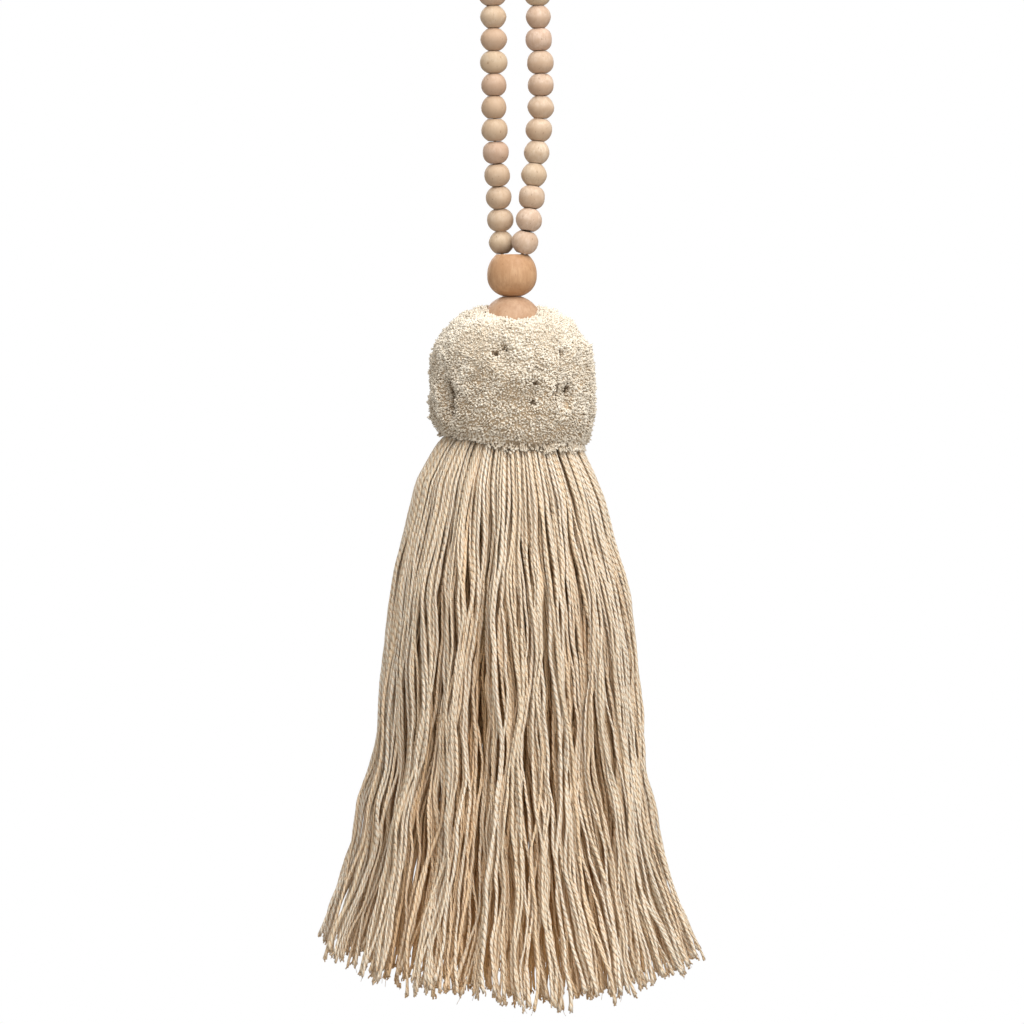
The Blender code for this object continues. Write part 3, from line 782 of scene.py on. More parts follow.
def strand_paths(settings, first, count, rings):
    """Where the middle of each strand runs, from inside the pompom to its cut end.

    The strands are numbered inwards, and each number has the same course whoever asks for it. Their
    bearings and shares of the way inwards follow, and how far each of their points lies in a fold.
    """
    total = settings.outer_strands + settings.inner_strands
    rng = np.random.default_rng(7)
    clumps = np.sort(np.arange(settings.clumps) + rng.uniform(-0.35, 0.35, settings.clumps))
    clumps = clumps * math.tau / settings.clumps
    clump_length = rng.normal(0.0, settings.uneven, settings.clumps)
    clump_flare = rng.normal(0.0, 1.0, settings.clumps)
    jitter = rng.normal(0.0, 1.0, (total, 4))
    phases = rng.uniform(0.0, math.tau, (total, 6))
    waves = rng.uniform(0.0, 1.0, (total, 6))
    stray = rng.uniform(0.0, 1.0, (total, 3))
    sway = rng.uniform(0.0, 1.0, (9, 3))
    folds = rng.uniform(0.0, 1.0, (6, 3))

    chosen = slice(first, first + count)
    number = np.arange(total)[chosen]
    jitter, phases, waves, stray = jitter[chosen], phases[chosen], waves[chosen], stray[chosen]
    bearing = number * GOLDEN_ANGLE + 0.02 * jitter[:, 0]
    share = (number + 0.5) / total
    nearest, drawn = nearest_clump(bearing % math.tau, clumps)
    outer = np.sqrt(1 - share)
    across = outer * np.cos(bearing)
    hem = HEM_DROP + 0.9 * MM - SIDE_HEM_RISE * across**2
    hem -= FRONT_HEM_RISE * (outer * np.sin(bearing)) ** 2
    hem -= LEFT_HEM_RISE * share_past(-across, 0.12, 0.28)
    hem += np.clip(clump_length[nearest] + jitter[:, 1] * settings.uneven, -4.5 * MM, 2.6 * MM)
    down = np.linspace(0.0, 1.0, rings)[None, :]
    drop = HEAD_DROP - 1.0 * MM + (hem[:, None] - HEAD_DROP + 1.0 * MM) * down

    even = lay(down, "even")
    spent = share[:, None] * (even + (1 - even) * share[:, None])
    out = 0.978 * np.sqrt(1 - spent)
    is_stray = (stray[:, 0] < 0.12) & (number < settings.outer_strands)
    lifted = np.where(is_stray, 0.024 + 0.03 * stray[:, 1], 0.012 * stray[:, 1] - 0.006)
    out = out + lifted[:, None] * np.clip(4 * down, 0.0, 1.0)
    cross = np.where(is_stray, 2.2, 1.0) * jitter[:, 2] * 0.045
    settle = share_past(down, 0.05, 0.95)
    settle = settle * settle * (3 - 2 * settle)
    pull = (0.25 + 0.75 * stray[:, 2])[:, None] * 0.62 * share_past(down, 0.05, 0.65) ** 1.2
    angle = bearing[:, None] + cross[:, None] * settle + drawn[:, None] * pull
    angle, hollow, parted = sink_folds(angle, down, folds)
    out = out - (FOLD_DEPTH * hollow + PARTING_DEPTH * parted) * (1 - share[:, None])
    leftmost = share_past(-np.cos(bearing), 0.6, 0.3) * (stray[:, 0] > 0.3)
    held_in = share_past(down, 0.45, 0.2) * share_past(-down, -1.02, 0.15)
    out = out - LOOSE_EDGE * leftmost[:, None] * held_in

    left = smooth_curve(SKIRT, "left", drop)
    right = smooth_curve(SKIRT, "right", drop)
    side = np.where(np.cos(angle) < 0, left, right)
    x = out * np.cos(angle) * side
    y = out * np.sin(angle) * SKIRT_DEPTH * (left + right) / 2

    wander = settings.wander * lay(down, "wander")
    length = drop - HEAD_DROP

    def swing(column, shortest, more):
        """A wave down each strand, whose length in millimetres and start are its own."""
        wave_length = (shortest + more * waves[:, column : column + 1]) * MM
        return np.sin(math.tau * length / wave_length + phases[:, column : column + 1])

    together = np.zeros_like(drop)
    for bend in sway:
        around = 4 + math.floor(20 * bend[0])
        tall = (55 + 90 * bend[1]) * MM
        together += 0.36 * np.sin(around * bearing[:, None] + math.tau * (length / tall + bend[2]))
    swings = 0.58 * swing(0, 42, 46) + 0.24 * swing(1, 17, 16) + 0.07 * swing(2, 8, 5)
    sideways = wander * (together + swings)
    flare = 1.1 * clump_flare[nearest] + 0.7 * jitter[:, 3]
    sideways += MM * flare[:, None] * share_past(down, 0.84, 0.16) ** 1.5
    outwards = wander * (0.36 * swing(3, 38, 50) + 0.16 * swing(4, 15, 16))
    x += sideways * -np.sin(angle) + outwards * np.cos(angle)
    y += sideways * np.cos(angle) + outwards * np.sin(angle)
    return np.stack([x, y, -drop], axis=2), bearing % math.tau, share, hollow


def strand_tints(settings, first, count):
    """A shade for each strand. Neighbours in a clump are alike."""
    rng = np.random.default_rng(23)
    total = settings.outer_strands + settings.inner_strands
    own = rng.uniform(0.0, 1.0, total)[first : first + count]
    bearing = (np.arange(first, first + count) * GOLDEN_ANGLE) % math.tau
    patch = 0.5 + 0.5 * np.sin(5 * bearing + 1.0) * np.sin(11 * bearing + 0.4)
    return 0.65 * own + 0.35 * patch


def build_outer_yarn(settings):
    """The strands on the outside, which hide most of those behind them."""
    rings = 101
    count = settings.outer_strands
    paths, bearing, share, fold = strand_paths(settings, 0, count, rings)
    rng = np.random.default_rng(31)
    width = settings.width / 2 * rng.uniform(0.78, 1.16, (count, 1))
    down = np.linspace(0.0, 1.0, rings)[None, :]
    swell = 1 + 0.35 * share_past(down, 0.98, 0.02)
    phase = rng.uniform(0, 6, (count, 2))
    uneven = 0.10 * np.sin(down * 47 + phase[:, :1]) + 0.07 * np.sin(down * 131 + phase[:, 1:])
    ridge = width * swell * (1 + uneven)
    turn = rng.uniform(0.0, math.tau, (count, 1)) + 5 * down
    points = tube_points(paths, ridge, 0.82 * ridge, turn, 4)
    tints = strand_tints(settings, 0, count)
    finish = yarn_material(settings)
    third = ((bearing + math.pi / 2 + math.pi / 3) % math.tau) // (math.tau / 3)
    for name, sector in (("yarn_front", 0), ("yarn_back_right", 1), ("yarn_back_left", 2)):
        chosen = third == sector
        mesh = tube_mesh(name, points[chosen])
        shape = points[chosen].shape[:3]
        add_values(mesh, "tint", np.broadcast_to(tints[chosen][:, None, None], shape))
        # Painted shade, more for strands further in and for those in the folds.
        inwards = share_past(share[chosen], 0.1, 0.55)
        deep = np.minimum(0.72 * inwards[:, None] + 0.1 * fold[chosen], 1.0)
        add_values(mesh, "depth", np.broadcast_to(deep[:, :, None], shape))
        add_piece(name, mesh, finish, ("skirt",))


def head_mesh():
    """The bound head inside the pompom, a little domed, from which all the strands hang."""
    sides = 48
    profile = ((0.02, 0.0), (0.86, 0.0), (0.97, 0.25), (1.0, 0.5), (0.95, 0.85), (0.8, 1.0), (0.02, 1.0))
    angle = np.arange(sides) * math.tau / sides
    rings = []
    for out, up in profile:
        pleat = 1 + 0.02 * np.sin(16 * angle) * (out > 0.5)
        x = np.cos(angle) * HEAD_RADIUS * out * pleat
        y = np.sin(angle) * HEAD_RADIUS * SKIRT_DEPTH * out * pleat
        rings.append(np.stack([x, y, np.full(sides, -HEAD_DROP + HEAD_THICKNESS * up)], axis=1))
    points = np.stack(rings)[None, ::-1]
    mesh = tube_mesh("yarn_head", points)
    # Half the painted shade on the head, inside the pompom.
    add_values(mesh, "tint", 0.4)
    add_values(mesh, "depth", 0.5)
    return mesh


def build_inner_yarn(settings):
    """The strands behind the outer ones, and the head that binds them all."""
    rings = 41
    first, count = settings.outer_strands, settings.inner_strands
    paths, _, share, _ = strand_paths(settings, first, count, rings)
    rng = np.random.default_rng(37)
    width = settings.width / 2 * rng.uniform(0.78, 0.98, (count, 1)) * np.ones((1, rings))
    turn = rng.uniform(0.0, math.tau, (count, 1)) * np.ones((1, rings))
    mesh = tube_mesh("yarn_inner", tube_points(paths, width, width * 0.9, turn, 4))
    tints = strand_tints(settings, first, count)
    # Painted shade: the inner strands lie behind the outer ones.
    deep = 0.7 + 0.3 * share_past(share, 0.65, 0.2)
    add_values(mesh, "tint", np.broadcast_to(tints[:, None, None], (count, rings, 4)))
    add_values(mesh, "depth", np.broadcast_to(deep[:, None, None], (count, rings, 4)))
    finish = yarn_material(settings)
    add_piece("yarn_inner", mesh, finish, ("skirt",))
    add_piece("yarn_head", head_mesh(), finish, ("skirt",))


def build_cut_ends(settings):
    """Plies and fibres that spread from each cut end."""
    total = settings.outer_strands + settings.inner_strands
    paths, _, share, _ = strand_paths(settings, 0, total, 80)
    ends = paths[:, -1]
    along = ends - paths[:, -4]
    along /= np.linalg.norm(along, axis=1, keepdims=True)
    rng = np.random.default_rng(41)
    each = np.where(np.arange(total) < settings.outer_strands + 100, 4, 3)
    owner = np.repeat(np.arange(total), each)
    count, rings = len(owner), 4
    spread = rng.normal(0.0, 1.0, (count, 3)) * np.array([1.0, 1.0, 0.3])
    spread *= rng.uniform(0.12, 0.5, (count, 1))
    length = rng.uniform(0.5, 1.3, (count, 1)) * MM
    stray = rng.uniform(0.0, 1.0, count) < 0.03
    length[stray] *= 2.2
    s = np.linspace(0.0, 1.0, rings)[None, :, None]
    start = ends[owner] + rng.normal(0.0, 0.26, (count, 3)) * np.array([1.0, 1.0, 0.0]) * MM
    start -= along[owner] * 0.7 * MM
    curl = rng.normal(0.0, 0.28, (count, 1, 3)) * length[:, None]
    run = along[owner][:, None, :] * length[:, None] * s * 1.3
    lean = spread[:, None, :] * length[:, None] * s**1.5
    course = start[:, None, :] + run + lean + curl * np.sin(math.pi * s) * 0.5
    thick = rng.uniform(0.24, 0.4, (count, 1)) * MM
    thick[stray] = 0.09 * MM
    radius = thick * np.linspace(1.0, 0.9, rings)[None, :]
    points = tube_points(course, radius, radius * 0.8, np.zeros((count, rings)), 3)
    mesh = tube_mesh("yarn_ends", points)
    # The cut ends are painted a little darker, with painted shade that grows for deeper strands.
    tints = strand_tints(settings, 0, total)[owner] * 0.8
    add_values(mesh, "tint", np.broadcast_to(tints[:, None, None], (count, rings, 3)))
    deep = 0.38 + 0.55 * share_past(share[owner], 0.1, 0.6)
    add_values(mesh, "depth", np.broadcast_to(deep[:, None, None], (count, rings, 3)))
    add_piece("yarn_ends", mesh, yarn_material(settings), ("skirt",))


# Pompom


def squared_reach(direction):
    """Where the pompom's plain outline lies in this direction from its middle."""
    out = math.hypot(direction.x, direction.y / POMPOM_DEPTH) / POMPOM_RADIUS
    upper = direction.z > 0
    power = UPPER_SQUARENESS if upper else LOWER_SQUARENESS
    height = POMPOM_UP if upper else POMPOM_DOWN * (1 + POMPOM_LEAN * direction.x)
    return (out**power + (abs(direction.z) / height) ** power) ** (-1 / power)


def ball_place(mark):
    """A place on the pompom, given as a bearing from the front and a height."""
    bearing = math.radians(mark["bearing"])
    height = mark["height"] * MM
    out = math.sqrt(POMPOM_RADIUS**2 - height**2)
    return Vector((out * math.sin(bearing), -out * math.cos(bearing), height))


def pile_surface(direction):
    """A point of the pompom's body: the plain outline with lumps, sunk at the partings."""
    reach = squared_reach(direction)
    for lump in LUMPS:
        reach += lump["height"] * MM * noise.noise(direction * lump["waves"])
    place = direction * reach
    for parting in PARTINGS:
        near = (place - ball_place(parting)).length / (parting["reach"] * MM)
        if near < 1:
            reach -= parting["depth"] * MM * (1 - near * near)
    return direction * reach


def hole_nearness(place):
    """Below 1 inside the nearest hole between the tufts, and 0 at its middle."""
    best = 9.0
    for hole in HOLES:
        middle = ball_place(hole)
        bearing = math.radians(hole["bearing"])
        sideways = Vector((math.cos(bearing), math.sin(bearing), 0.0))
        offset = place - middle
        if offset.length > 12 * MM:
            continue
        ragged = 0.25 * noise.noise(place * 900)
        across = offset.dot(sideways) / (hole["across"] * MM)
        tall = offset.z / (hole["tall"] * MM)
        best = min(best, math.hypot(across, tall) + ragged)
    return best


def sunk_bead_radius(height):
    """The sunk bead's radius at this height above the pompom's middle."""
    middle = POMPOM_DROP - lower_bead_drop()
    share = (height - middle) / (LOWER_LENGTH / 2)
    if abs(share) >= 1:
        return 0.0
    end = math.acos(LARGE_FLAT / LOWER_RADIUS)
    return LOWER_RADIUS * math.cos(math.asin(share * math.sin(end)))


def ball_directions(count, rng):
    """Directions spread evenly over a sphere, each a little off its place."""
    i = np.arange(count) + 0.5
    height = 1 - 2 * i / count
    out = np.sqrt(1 - height**2)
    places = np.stack([out * np.cos(GOLDEN_ANGLE * i), out * np.sin(GOLDEN_ANGLE * i), height], axis=1)
    places += rng.normal(0.0, 1.15 / math.sqrt(count), places.shape)
    return places / np.linalg.norm(places, axis=1, keepdims=True)


def pile_edge(place):
    """The drop, below the pompom's middle, down to which the pile hangs over the skirt here."""
    bearing = math.degrees(math.atan2(place.x, -place.y))
    drop = np.interp(bearing, [row["bearing"] for row in PILE_EDGE], [row["drop"] for row in PILE_EDGE])
    return float(drop) * MM - POMPOM_DROP


def skirt_reach(place):
    """How far out the skirt lies, on this side and at this depth below the pompom's middle."""
    drop = POMPOM_DROP - place.z
    if drop < HEAD_DROP:
        return 0.0
    out = math.hypot(place.x, place.y)
    left = float(smooth_curve(SKIRT, "left", drop))
    right = float(smooth_curve(SKIRT, "right", drop))
    side = left if place.x < 0 else right
    deep = SKIRT_DEPTH * (left + right) / 2
    return 1 / math.hypot(place.x / out / side, place.y / out / deep)


def pile_place(direction):
    """A point of the pile: the body's surface, lower in front of the bead and clear of the skirt."""
    place = pile_surface(direction)
    out = math.hypot(place.x, place.y)
    if place.z > 0 and place.y < 0:
        ahead = (-place.y / max(out, 1e-6)) ** 1.2
        place.z -= FRONT_DIP * ahead * max(0.0, min(1.0, 1 - (out - 9.5 * MM) / (9 * MM)))
    return place + direction * 0.5 * MM * noise.noise(direction * 11)


def ball_direction(bearing, angle):
    out = math.cos(angle)
    return Vector((out * math.cos(bearing), out * math.sin(bearing), math.sin(angle)))


def ball_feet(bearings):
    """The angle at which the ball ends on each bearing, at its lower edge or on the skirt."""
    angles = []
    for bearing in bearings:
        for angle in np.radians(np.arange(-12.0, -60.0, -0.5)):
            place = pile_place(ball_direction(bearing, angle))
            out = math.hypot(place.x, place.y)
            if -place.z > pile_edge(place) or out < skirt_reach(place) + PILE_GAP:
                break
        angles.append(float(angle))
    return angles


def belt_place(bearing, drop):
    """A place of the pile that hangs over the top of the skirt, at a drop below the pompom's middle."""
    place = Vector((math.cos(bearing), math.sin(bearing), -drop))
    out = skirt_reach(place) + PILE_GAP
    return Vector((math.cos(bearing) * out, math.sin(bearing) * out, -drop))


def tuft_places(settings, rng):
    """Where the tufts stand, over the ball and on the belt between its foot and the pile's edge."""
    bearings = math.tau * np.arange(97) / 96
    feet = ball_feet(bearings)
    foot_drops = [-pile_place(ball_direction(b, a)).z for b, a in zip(bearings, feet)]
    places = []
    for direction in ball_directions(settings.tufts, rng):
        direction = Vector(direction)
        bearing = math.atan2(direction.y, direction.x) % math.tau
        if math.asin(direction.z) > np.interp(bearing, bearings, feet) - 0.015:
            places.append(pile_place(direction))
    high, low = min(foot_drops), LOWEST_PILE_DROP - POMPOM_DROP
    area = math.tau * 22.5 * MM * (low - high)
    count = int(settings.tufts * area / (4 * math.pi * POMPOM_RADIUS**2))
    for bearing, drop in zip(rng.uniform(0.0, math.tau, count), rng.uniform(high, low, count)):
        place = belt_place(bearing, drop)
        if np.interp(bearing, bearings, foot_drops) < drop < pile_edge(place) + 0.3 * MM * rng.normal():
            places.append(place)
    return places


def tuft_roots(settings, rng):
    """Each tuft's tip and outward direction, with how far it has sunk."""
    tips, ways, sunk = [], [], []
    for place in tuft_places(settings, rng):
        near = hole_nearness(place)
        if near < 0.72:
            continue
        outward = Vector(
            (
                place.x / POMPOM_RADIUS**2,
                place.y / POMPOM_RADIUS**2,
                1.3 * place.z * abs(place.z) / POMPOM_UP**3,
            )
        ).normalized()
        rise = settings.rise + 0.2 * MM * rng.normal() + 0.35 * MM * noise.noise(place * 420)
        if rng.uniform() < 0.03:
            rise += 0.4 * MM
        rise -= 0.5 * MM * max(0.0, min(1.0, (-place.z - 16.5 * MM) / (3 * MM)))
        if near < 1.15:
            rise -= 1.1 * MM * (1.15 - near) / 0.43
        tip = place + outward * rise
        out = math.hypot(tip.x, tip.y)
        bead = sunk_bead_radius(tip.z) if tip.z > 0 else 0.0
        if tip.z > 0 and out < LOWER_RADIUS + 0.4 * MM:
            if out < LOWER_RADIUS - 1.4 * MM:
                continue
            keep = max(out, bead + 0.55 * MM)
            tip = Vector((tip.x * keep / out, tip.y * keep / out, tip.z))
        tips.append(tip)
        ways.append(outward)
        sunk.append(max(0.0, min(1.0, (1.2 - near) / 0.48)))
    return np.array(tips), np.array(ways), np.array(sunk)


def side_ways(ways):
    """Two directions across each given one."""
    helper = np.where(np.abs(ways[:, 2:3]) > 0.8, [[1.0, 0.0, 0.0]], [[0.0, 0.0, 1.0]])
    first = np.cross(ways, helper)
    first /= np.linalg.norm(first, axis=1, keepdims=True)
    return first, np.cross(ways, first)


def tuft_points(settings, tips, ways, patches, rng):
    """Five points round the cut rim of each tuft, its root and the middle of its cut.

    The tufts are wider where the patches are above 0.
    """
    count, sides = len(tips), 5
    first, second = side_ways(ways)
    lean = rng.normal(0.0, 0.34, (count, 2))
    axis = ways + first * lean[:, 0:1] + second * lean[:, 1:2]
    axis /= np.linalg.norm(axis, axis=1, keepdims=True)
    first, second = side_ways(axis)
    width = settings.tuft_width / 2 * rng.uniform(0.6, 1.35, (count, 1, 1))
    width *= 1 + 0.6 * patches[:, None, None]
    squash = rng.uniform(0.55, 1.0, (count, 1, 1))
    spin = rng.uniform(0.0, math.tau, (count, 1))
    angle = spin + np.arange(sides)[None, :] * math.tau / sides
    round_it = np.cos(angle)[:, :, None] * first[:, None, :]
    round_it = round_it + squash * np.sin(angle)[:, :, None] * second[:, None, :]
    reach = width * rng.uniform(0.72, 1.28, (count, sides, 1))
    fall = rng.uniform(0.08, 0.38, (count, sides, 1)) * MM
    rim = tips[:, None, :] - axis[:, None, :] * fall + round_it * reach
    root = tips - axis * 2.6 * MM
    middle = tips + axis * rng.uniform(-0.1, 0.16, (count, 1)) * MM
    return np.concatenate([rim, root[:, None, :], middle[:, None, :]], axis=1)


def tuft_faces(count):
    """Five faces from the root to the rim and five over the cut, for each tuft of seven points."""
    side = np.arange(5)
    after = (side + 1) % 5
    stem = np.stack([side, np.full(5, 5), after], axis=1)
    cut = np.stack([side, after, np.full(5, 6)], axis=1)
    start = (np.arange(count) * 7)[:, None, None]
    return (start + np.concatenate([stem, cut])[None]).reshape(-1, 3)


def under_body():
    """The lumpy body under the tufts, where their roots close up, round the bead and over the skirt."""
    around, steps = 144, 60
    bearings = math.tau * np.arange(around) / around
    top_angle = math.acos((LOWER_RADIUS + 0.3 * MM) / (23 * MM))
    feet = ball_feet(bearings)
    rings = []
    depth = []
    for share in np.linspace(0.0, 1.0, steps):
        ring = []
        for bearing, foot in zip(bearings, feet):
            place = pile_place(ball_direction(bearing, top_angle + (foot - top_angle) * share))
            hole = max(0.0, min(1.0, (1.25 - hole_nearness(place)) / 0.5))
            dip = -0.25 * MM + 2.9 * MM * hole
            # Painted shade: dark in the holes, and less under the top tufts, as under light from above.
            close = max(0.0, min(1.0, place.z / TOP_LIGHT_HEIGHT))
            depth.append(1 + hole - 0.65 * close * (1 - hole))
            place = place * (1 - dip / place.length)
            reach = math.hypot(place.x, place.y)
            if place.z > 0 and reach < LOWER_RADIUS + 0.25 * MM:
                keep = sunk_bead_radius(place.z) + 0.25 * MM
                place = Vector((place.x * keep / reach, place.y * keep / reach, place.z))
            ring.append(place)
        rings.append(ring)
    for share in (0.4, 0.8, 1.0):
        ring = []
        for bearing, foot in zip(bearings, rings[steps - 1]):
            edge = max(-foot.z, pile_edge(foot) - 0.6 * MM)
            place = belt_place(bearing, -foot.z + (edge + foot.z) * share)
            if edge + foot.z < 0.1 * MM:
                place = foot * (1 - 0.04 * share)
            ring.append(place)
        rings.append(ring)
    for out, height in ((19.9, -14.2), (19.4, -12.0), (1.2, -11.4), (1.2, 8.0)):
        ring = [(out * MM * math.cos(b), out * MM * math.sin(b), height * MM) for b in bearings]
        rings.append([Vector(place) for place in ring])
    points = np.array([[tuple(place) for place in ring] for ring in rings])
    points[:, :, 2] -= POMPOM_DROP
    mesh = new_mesh("pile_body", points.reshape(-1, 3), ring_faces(len(rings), around))
    depth += [1.0] * (len(mesh.vertices) - len(depth))
    add_values(mesh, "tint", 0.3)
    add_values(mesh, "depth", depth)
    return mesh


def build_pompom(settings):
    """The cut pile: thousands of tufts on a lumpy body, painted lighter at the top, with less painted shade
    at their roots there, as under light from above.
    """
    rng = np.random.default_rng(3)
    tips, ways, sunk = tuft_roots(settings, rng)
    if not len(tips):
        raise RuntimeError("no tuft lies on the pompom")
    # Painted light: the tufts near the top are painted lighter and their roots less shaded, as under light
    # from above.
    close = np.clip(tips[:, 2] / TOP_LIGHT_HEIGHT, 0.0, 1.0)
    patches = np.array([noise.noise(Vector(tip) * 130) for tip in tips])
    tints = np.clip(rng.normal(0.5, 0.28, len(tips)) + 0.2 * close + 0.4 * patches, 0.0, 1.0)
    points = tuft_points(settings, tips, ways, patches, rng)
    points[:, :, 2] -= POMPOM_DROP
    finish = pile_material(settings)
    for name, chosen in (("pile_front", tips[:, 1] < 0), ("pile_back", tips[:, 1] >= 0)):
        mesh = new_mesh(name, points[chosen].reshape(-1, 3), tuft_faces(int(chosen.sum())))
        add_values(mesh, "tint", np.repeat(tints[chosen], len(TUFT_SHADES)))
        # Painted shade at the tufts' roots, less at the top, and over tufts sunk towards a hole.
        deep = np.array([TUFT_SHADES]) * (1 - 0.65 * close[chosen][:, None])
        deep = np.maximum(deep, 0.75 * sunk[chosen][:, None])
        add_values(mesh, "depth", deep)
        add_piece(name, mesh, finish, ("pompom",))
    add_piece("pile_body", under_body(), finish, ("pompom",))


# Beads


def round_profile(radius, length, flat, bands):
    """The outer side of a bead, from the rim of its top flat to the rim of its bottom one."""
    half = length / 2
    end = math.acos(flat / radius)
    points = []
    for i in range(bands + 1):
        angle = end * (1 - 2 * i / bands)
        points.append((radius * math.cos(angle), half * math.sin(angle) / math.sin(end)))
    return points


def full_profile(radius, length, flat, fullness, bands):
    """The outer side of a bead that is fuller than a ball, from the rim of its top flat down."""
    half = length / 2
    end = (1 - (flat / radius) ** fullness) ** (1 / fullness)
    points = []
    for i in range(bands + 1):
        share = math.sin(math.pi * (0.5 - i / bands))
        share = math.copysign(abs(share) ** 0.8, share) * end
        points.append((radius * (1 - abs(share) ** fullness) ** (1 / fullness), half * share / end))
    return points


def turned_mesh(name, outside, inside, sides, wobble, seed, shade, lower_half_shade):
    """A turned bead with its bore, a little out of round, and the numbers that its wood reads.

    Its painted shade, a darkening of the whole bead, lies between the two given, and its lower half gets
    more painted shade, as under light from above, by up to the last number given.
    """
    rng = np.random.default_rng(seed)
    profile = np.array(outside + inside)
    rings = len(profile)
    shift = Vector(rng.uniform(-50, 50, 3))
    angle = np.arange(sides) * math.tau / sides
    largest = profile[:, 0].max()
    points = np.zeros((rings, sides, 3))
    for row, (radius, height) in enumerate(profile):
        for side in range(sides):
            way = Vector((math.cos(angle[side]), math.sin(angle[side]), height / largest))
            uneven = 1 + wobble * noise.noise(way * 0.8 + shift) if row < len(outside) else 1.0
            points[row, side] = (radius * way.x * uneven, radius * way.y * uneven, height)
    mesh = new_mesh(name, points.reshape(-1, 3), ring_faces(rings, sides))
    # Painted shade in the bore, and a little less at the rims of the flats, where the beads meet.
    dark = np.zeros(rings)
    dark[len(outside) :] = 1.0
    dark[[0, len(outside) - 1]] = 0.6
    add_values(mesh, "end", np.repeat(dark, sides))
    add_values(mesh, "tint", rng.uniform())
    add_values(mesh, "warmth", rng.uniform())
    # Painted shade over the whole bead, then on its lower half.
    add_values(mesh, "shade", rng.uniform(*shade))
    add_values(mesh, "lower_half_shade", lower_half_shade * rng.uniform())
    return mesh


def legs_end_drop():
    return TOP_BEND_DROP + BEADS_PER_LEG * (BEAD_LENGTH + GAP)


def upper_bead_drop():
    return legs_end_drop() + GAP + UPPER_LENGTH / 2


def lower_bead_drop():
    return upper_bead_drop() + UPPER_LENGTH / 2 + GAP + LOWER_LENGTH / 2


def leg_joints(side):
    """The points between a leg's beads, from the top down."""
    sign = 1 if side == "left" else -1
    drops = TOP_BEND_DROP + np.arange(BEADS_PER_LEG + 1) * (BEAD_LENGTH + GAP)
    across = smooth_curve(LEGS, side, drops)
    apart = sign * smooth_curve(LEGS, "apart", drops)
    return [Vector(place) for place in zip(across, apart, -drops)]


def top_joints():
    """The points between the beads of the bend, from the left leg over to the right one."""
    joints = []
    for i in range(TOP_BEADS + 1):
        angle = math.pi * (1 - i / TOP_BEADS)
        across = TOP_JOINT_RADIUS * math.cos(angle)
        joints.append(Vector((across, 0.0, TOP_JOINT_RADIUS * math.sin(angle) - TOP_BEND_DROP)))
    return joints


def thread_beads(names, joints, settings, finish, seed, shade):
    """One bead between each two joints, with its bore on the line between them."""
    length = BEAD_LENGTH + 0.6 * GAP
    inside = [(BEAD_BORE * 1.15, -length / 2), (BEAD_BORE, 0.0), (BEAD_BORE * 1.15, length / 2)]
    rng = np.random.default_rng(seed)
    for i, (name, start, end) in enumerate(zip(names, joints, joints[1:])):
        radius = BEAD_RADIUS * rng.uniform(0.98, 1.05)
        outside = full_profile(radius, length, rng.uniform(0.42, 0.5) * radius, rng.uniform(1.65, 2.35), 14)
        # Up to 0.8 of painted shade on the lower half of each small bead.
        mesh = turned_mesh(name, outside, inside, settings.small_sides, 0.09, seed + i, shade, 0.8)
        turn = (start - end).to_track_quat("Z", "Y").to_matrix().to_4x4()
        place = Matrix.Translation((start + end) / 2) @ turn
        add_piece(f"wood_{name}", mesh, finish, (name,), place)


def build_small_beads(settings):
    finish = wood_material("pale bead wood", tuple(settings.small_colour), 1300.0, 0.6, 0.56)
    # The left leg's beads get more painted shade than the right's, as on the side away from the key light.
    for side, seed, shade in (("left", 100, (0.4, 0.85)), ("right", 200, (0.0, 0.3))):
        names = [f"bead_{side}_{i + 1:02d}" for i in range(BEADS_PER_LEG)]
        thread_beads(names, leg_joints(side), settings, finish, seed, shade)
    names = [f"bead_top_{i + 1}" for i in range(TOP_BEADS)]
    thread_beads(names, top_joints(), settings, finish, 300, (0.0, 0.5))


def build_large_beads(settings):
    finish = wood_material("honey bead wood", tuple(settings.large_colour), 900.0, 0.6, 0.5)
    length = UPPER_LENGTH + 0.8 * GAP
    half = length / 2
    upper = full_profile(UPPER_RADIUS * 1.02, length, UPPER_DISH + DISH_RIM, 2.08, 28)[:15]
    outside = upper + full_profile(UPPER_RADIUS * 1.02, length, LARGE_FLAT, 2.18, 28)[15:]
    inside = [
        (LARGE_BORE, -half),
        (LARGE_BORE, half - UPPER_DISH_DEPTH),
        (UPPER_DISH * 0.8, half - UPPER_DISH_DEPTH * 0.4),
        (UPPER_DISH, half),
    ]
    mesh = turned_mesh("upper bead", outside, inside, settings.large_sides, 0.012, 401, (0.1, 0.3), 0.0)
    place = Matrix.Translation((0.0, 0.0, -upper_bead_drop()))
    add_piece("wood_bead_upper", mesh, finish, ("large_bead_upper",), place)

    half = LOWER_LENGTH / 2
    outside = round_profile(LOWER_RADIUS, LOWER_LENGTH, LARGE_FLAT, 28)
    inside = [(LARGE_BORE, -half), (LARGE_BORE, half)]
    pink = scaled(settings.large_colour, 0.9, 0.96, 1.1)
    finish = wood_material("pink bead wood", pink, 900.0, 0.5, 0.55)
    mesh = turned_mesh("sunk bead", outside, inside, settings.large_sides, 0.012, 402, (0.1, 0.3), 0.0)
    place = Matrix.Translation((0.0, 0.0, -lower_bead_drop() + 0.13 * MM))
    add_piece("wood_bead_sunk", mesh, finish, ("large_bead_lower",), place)


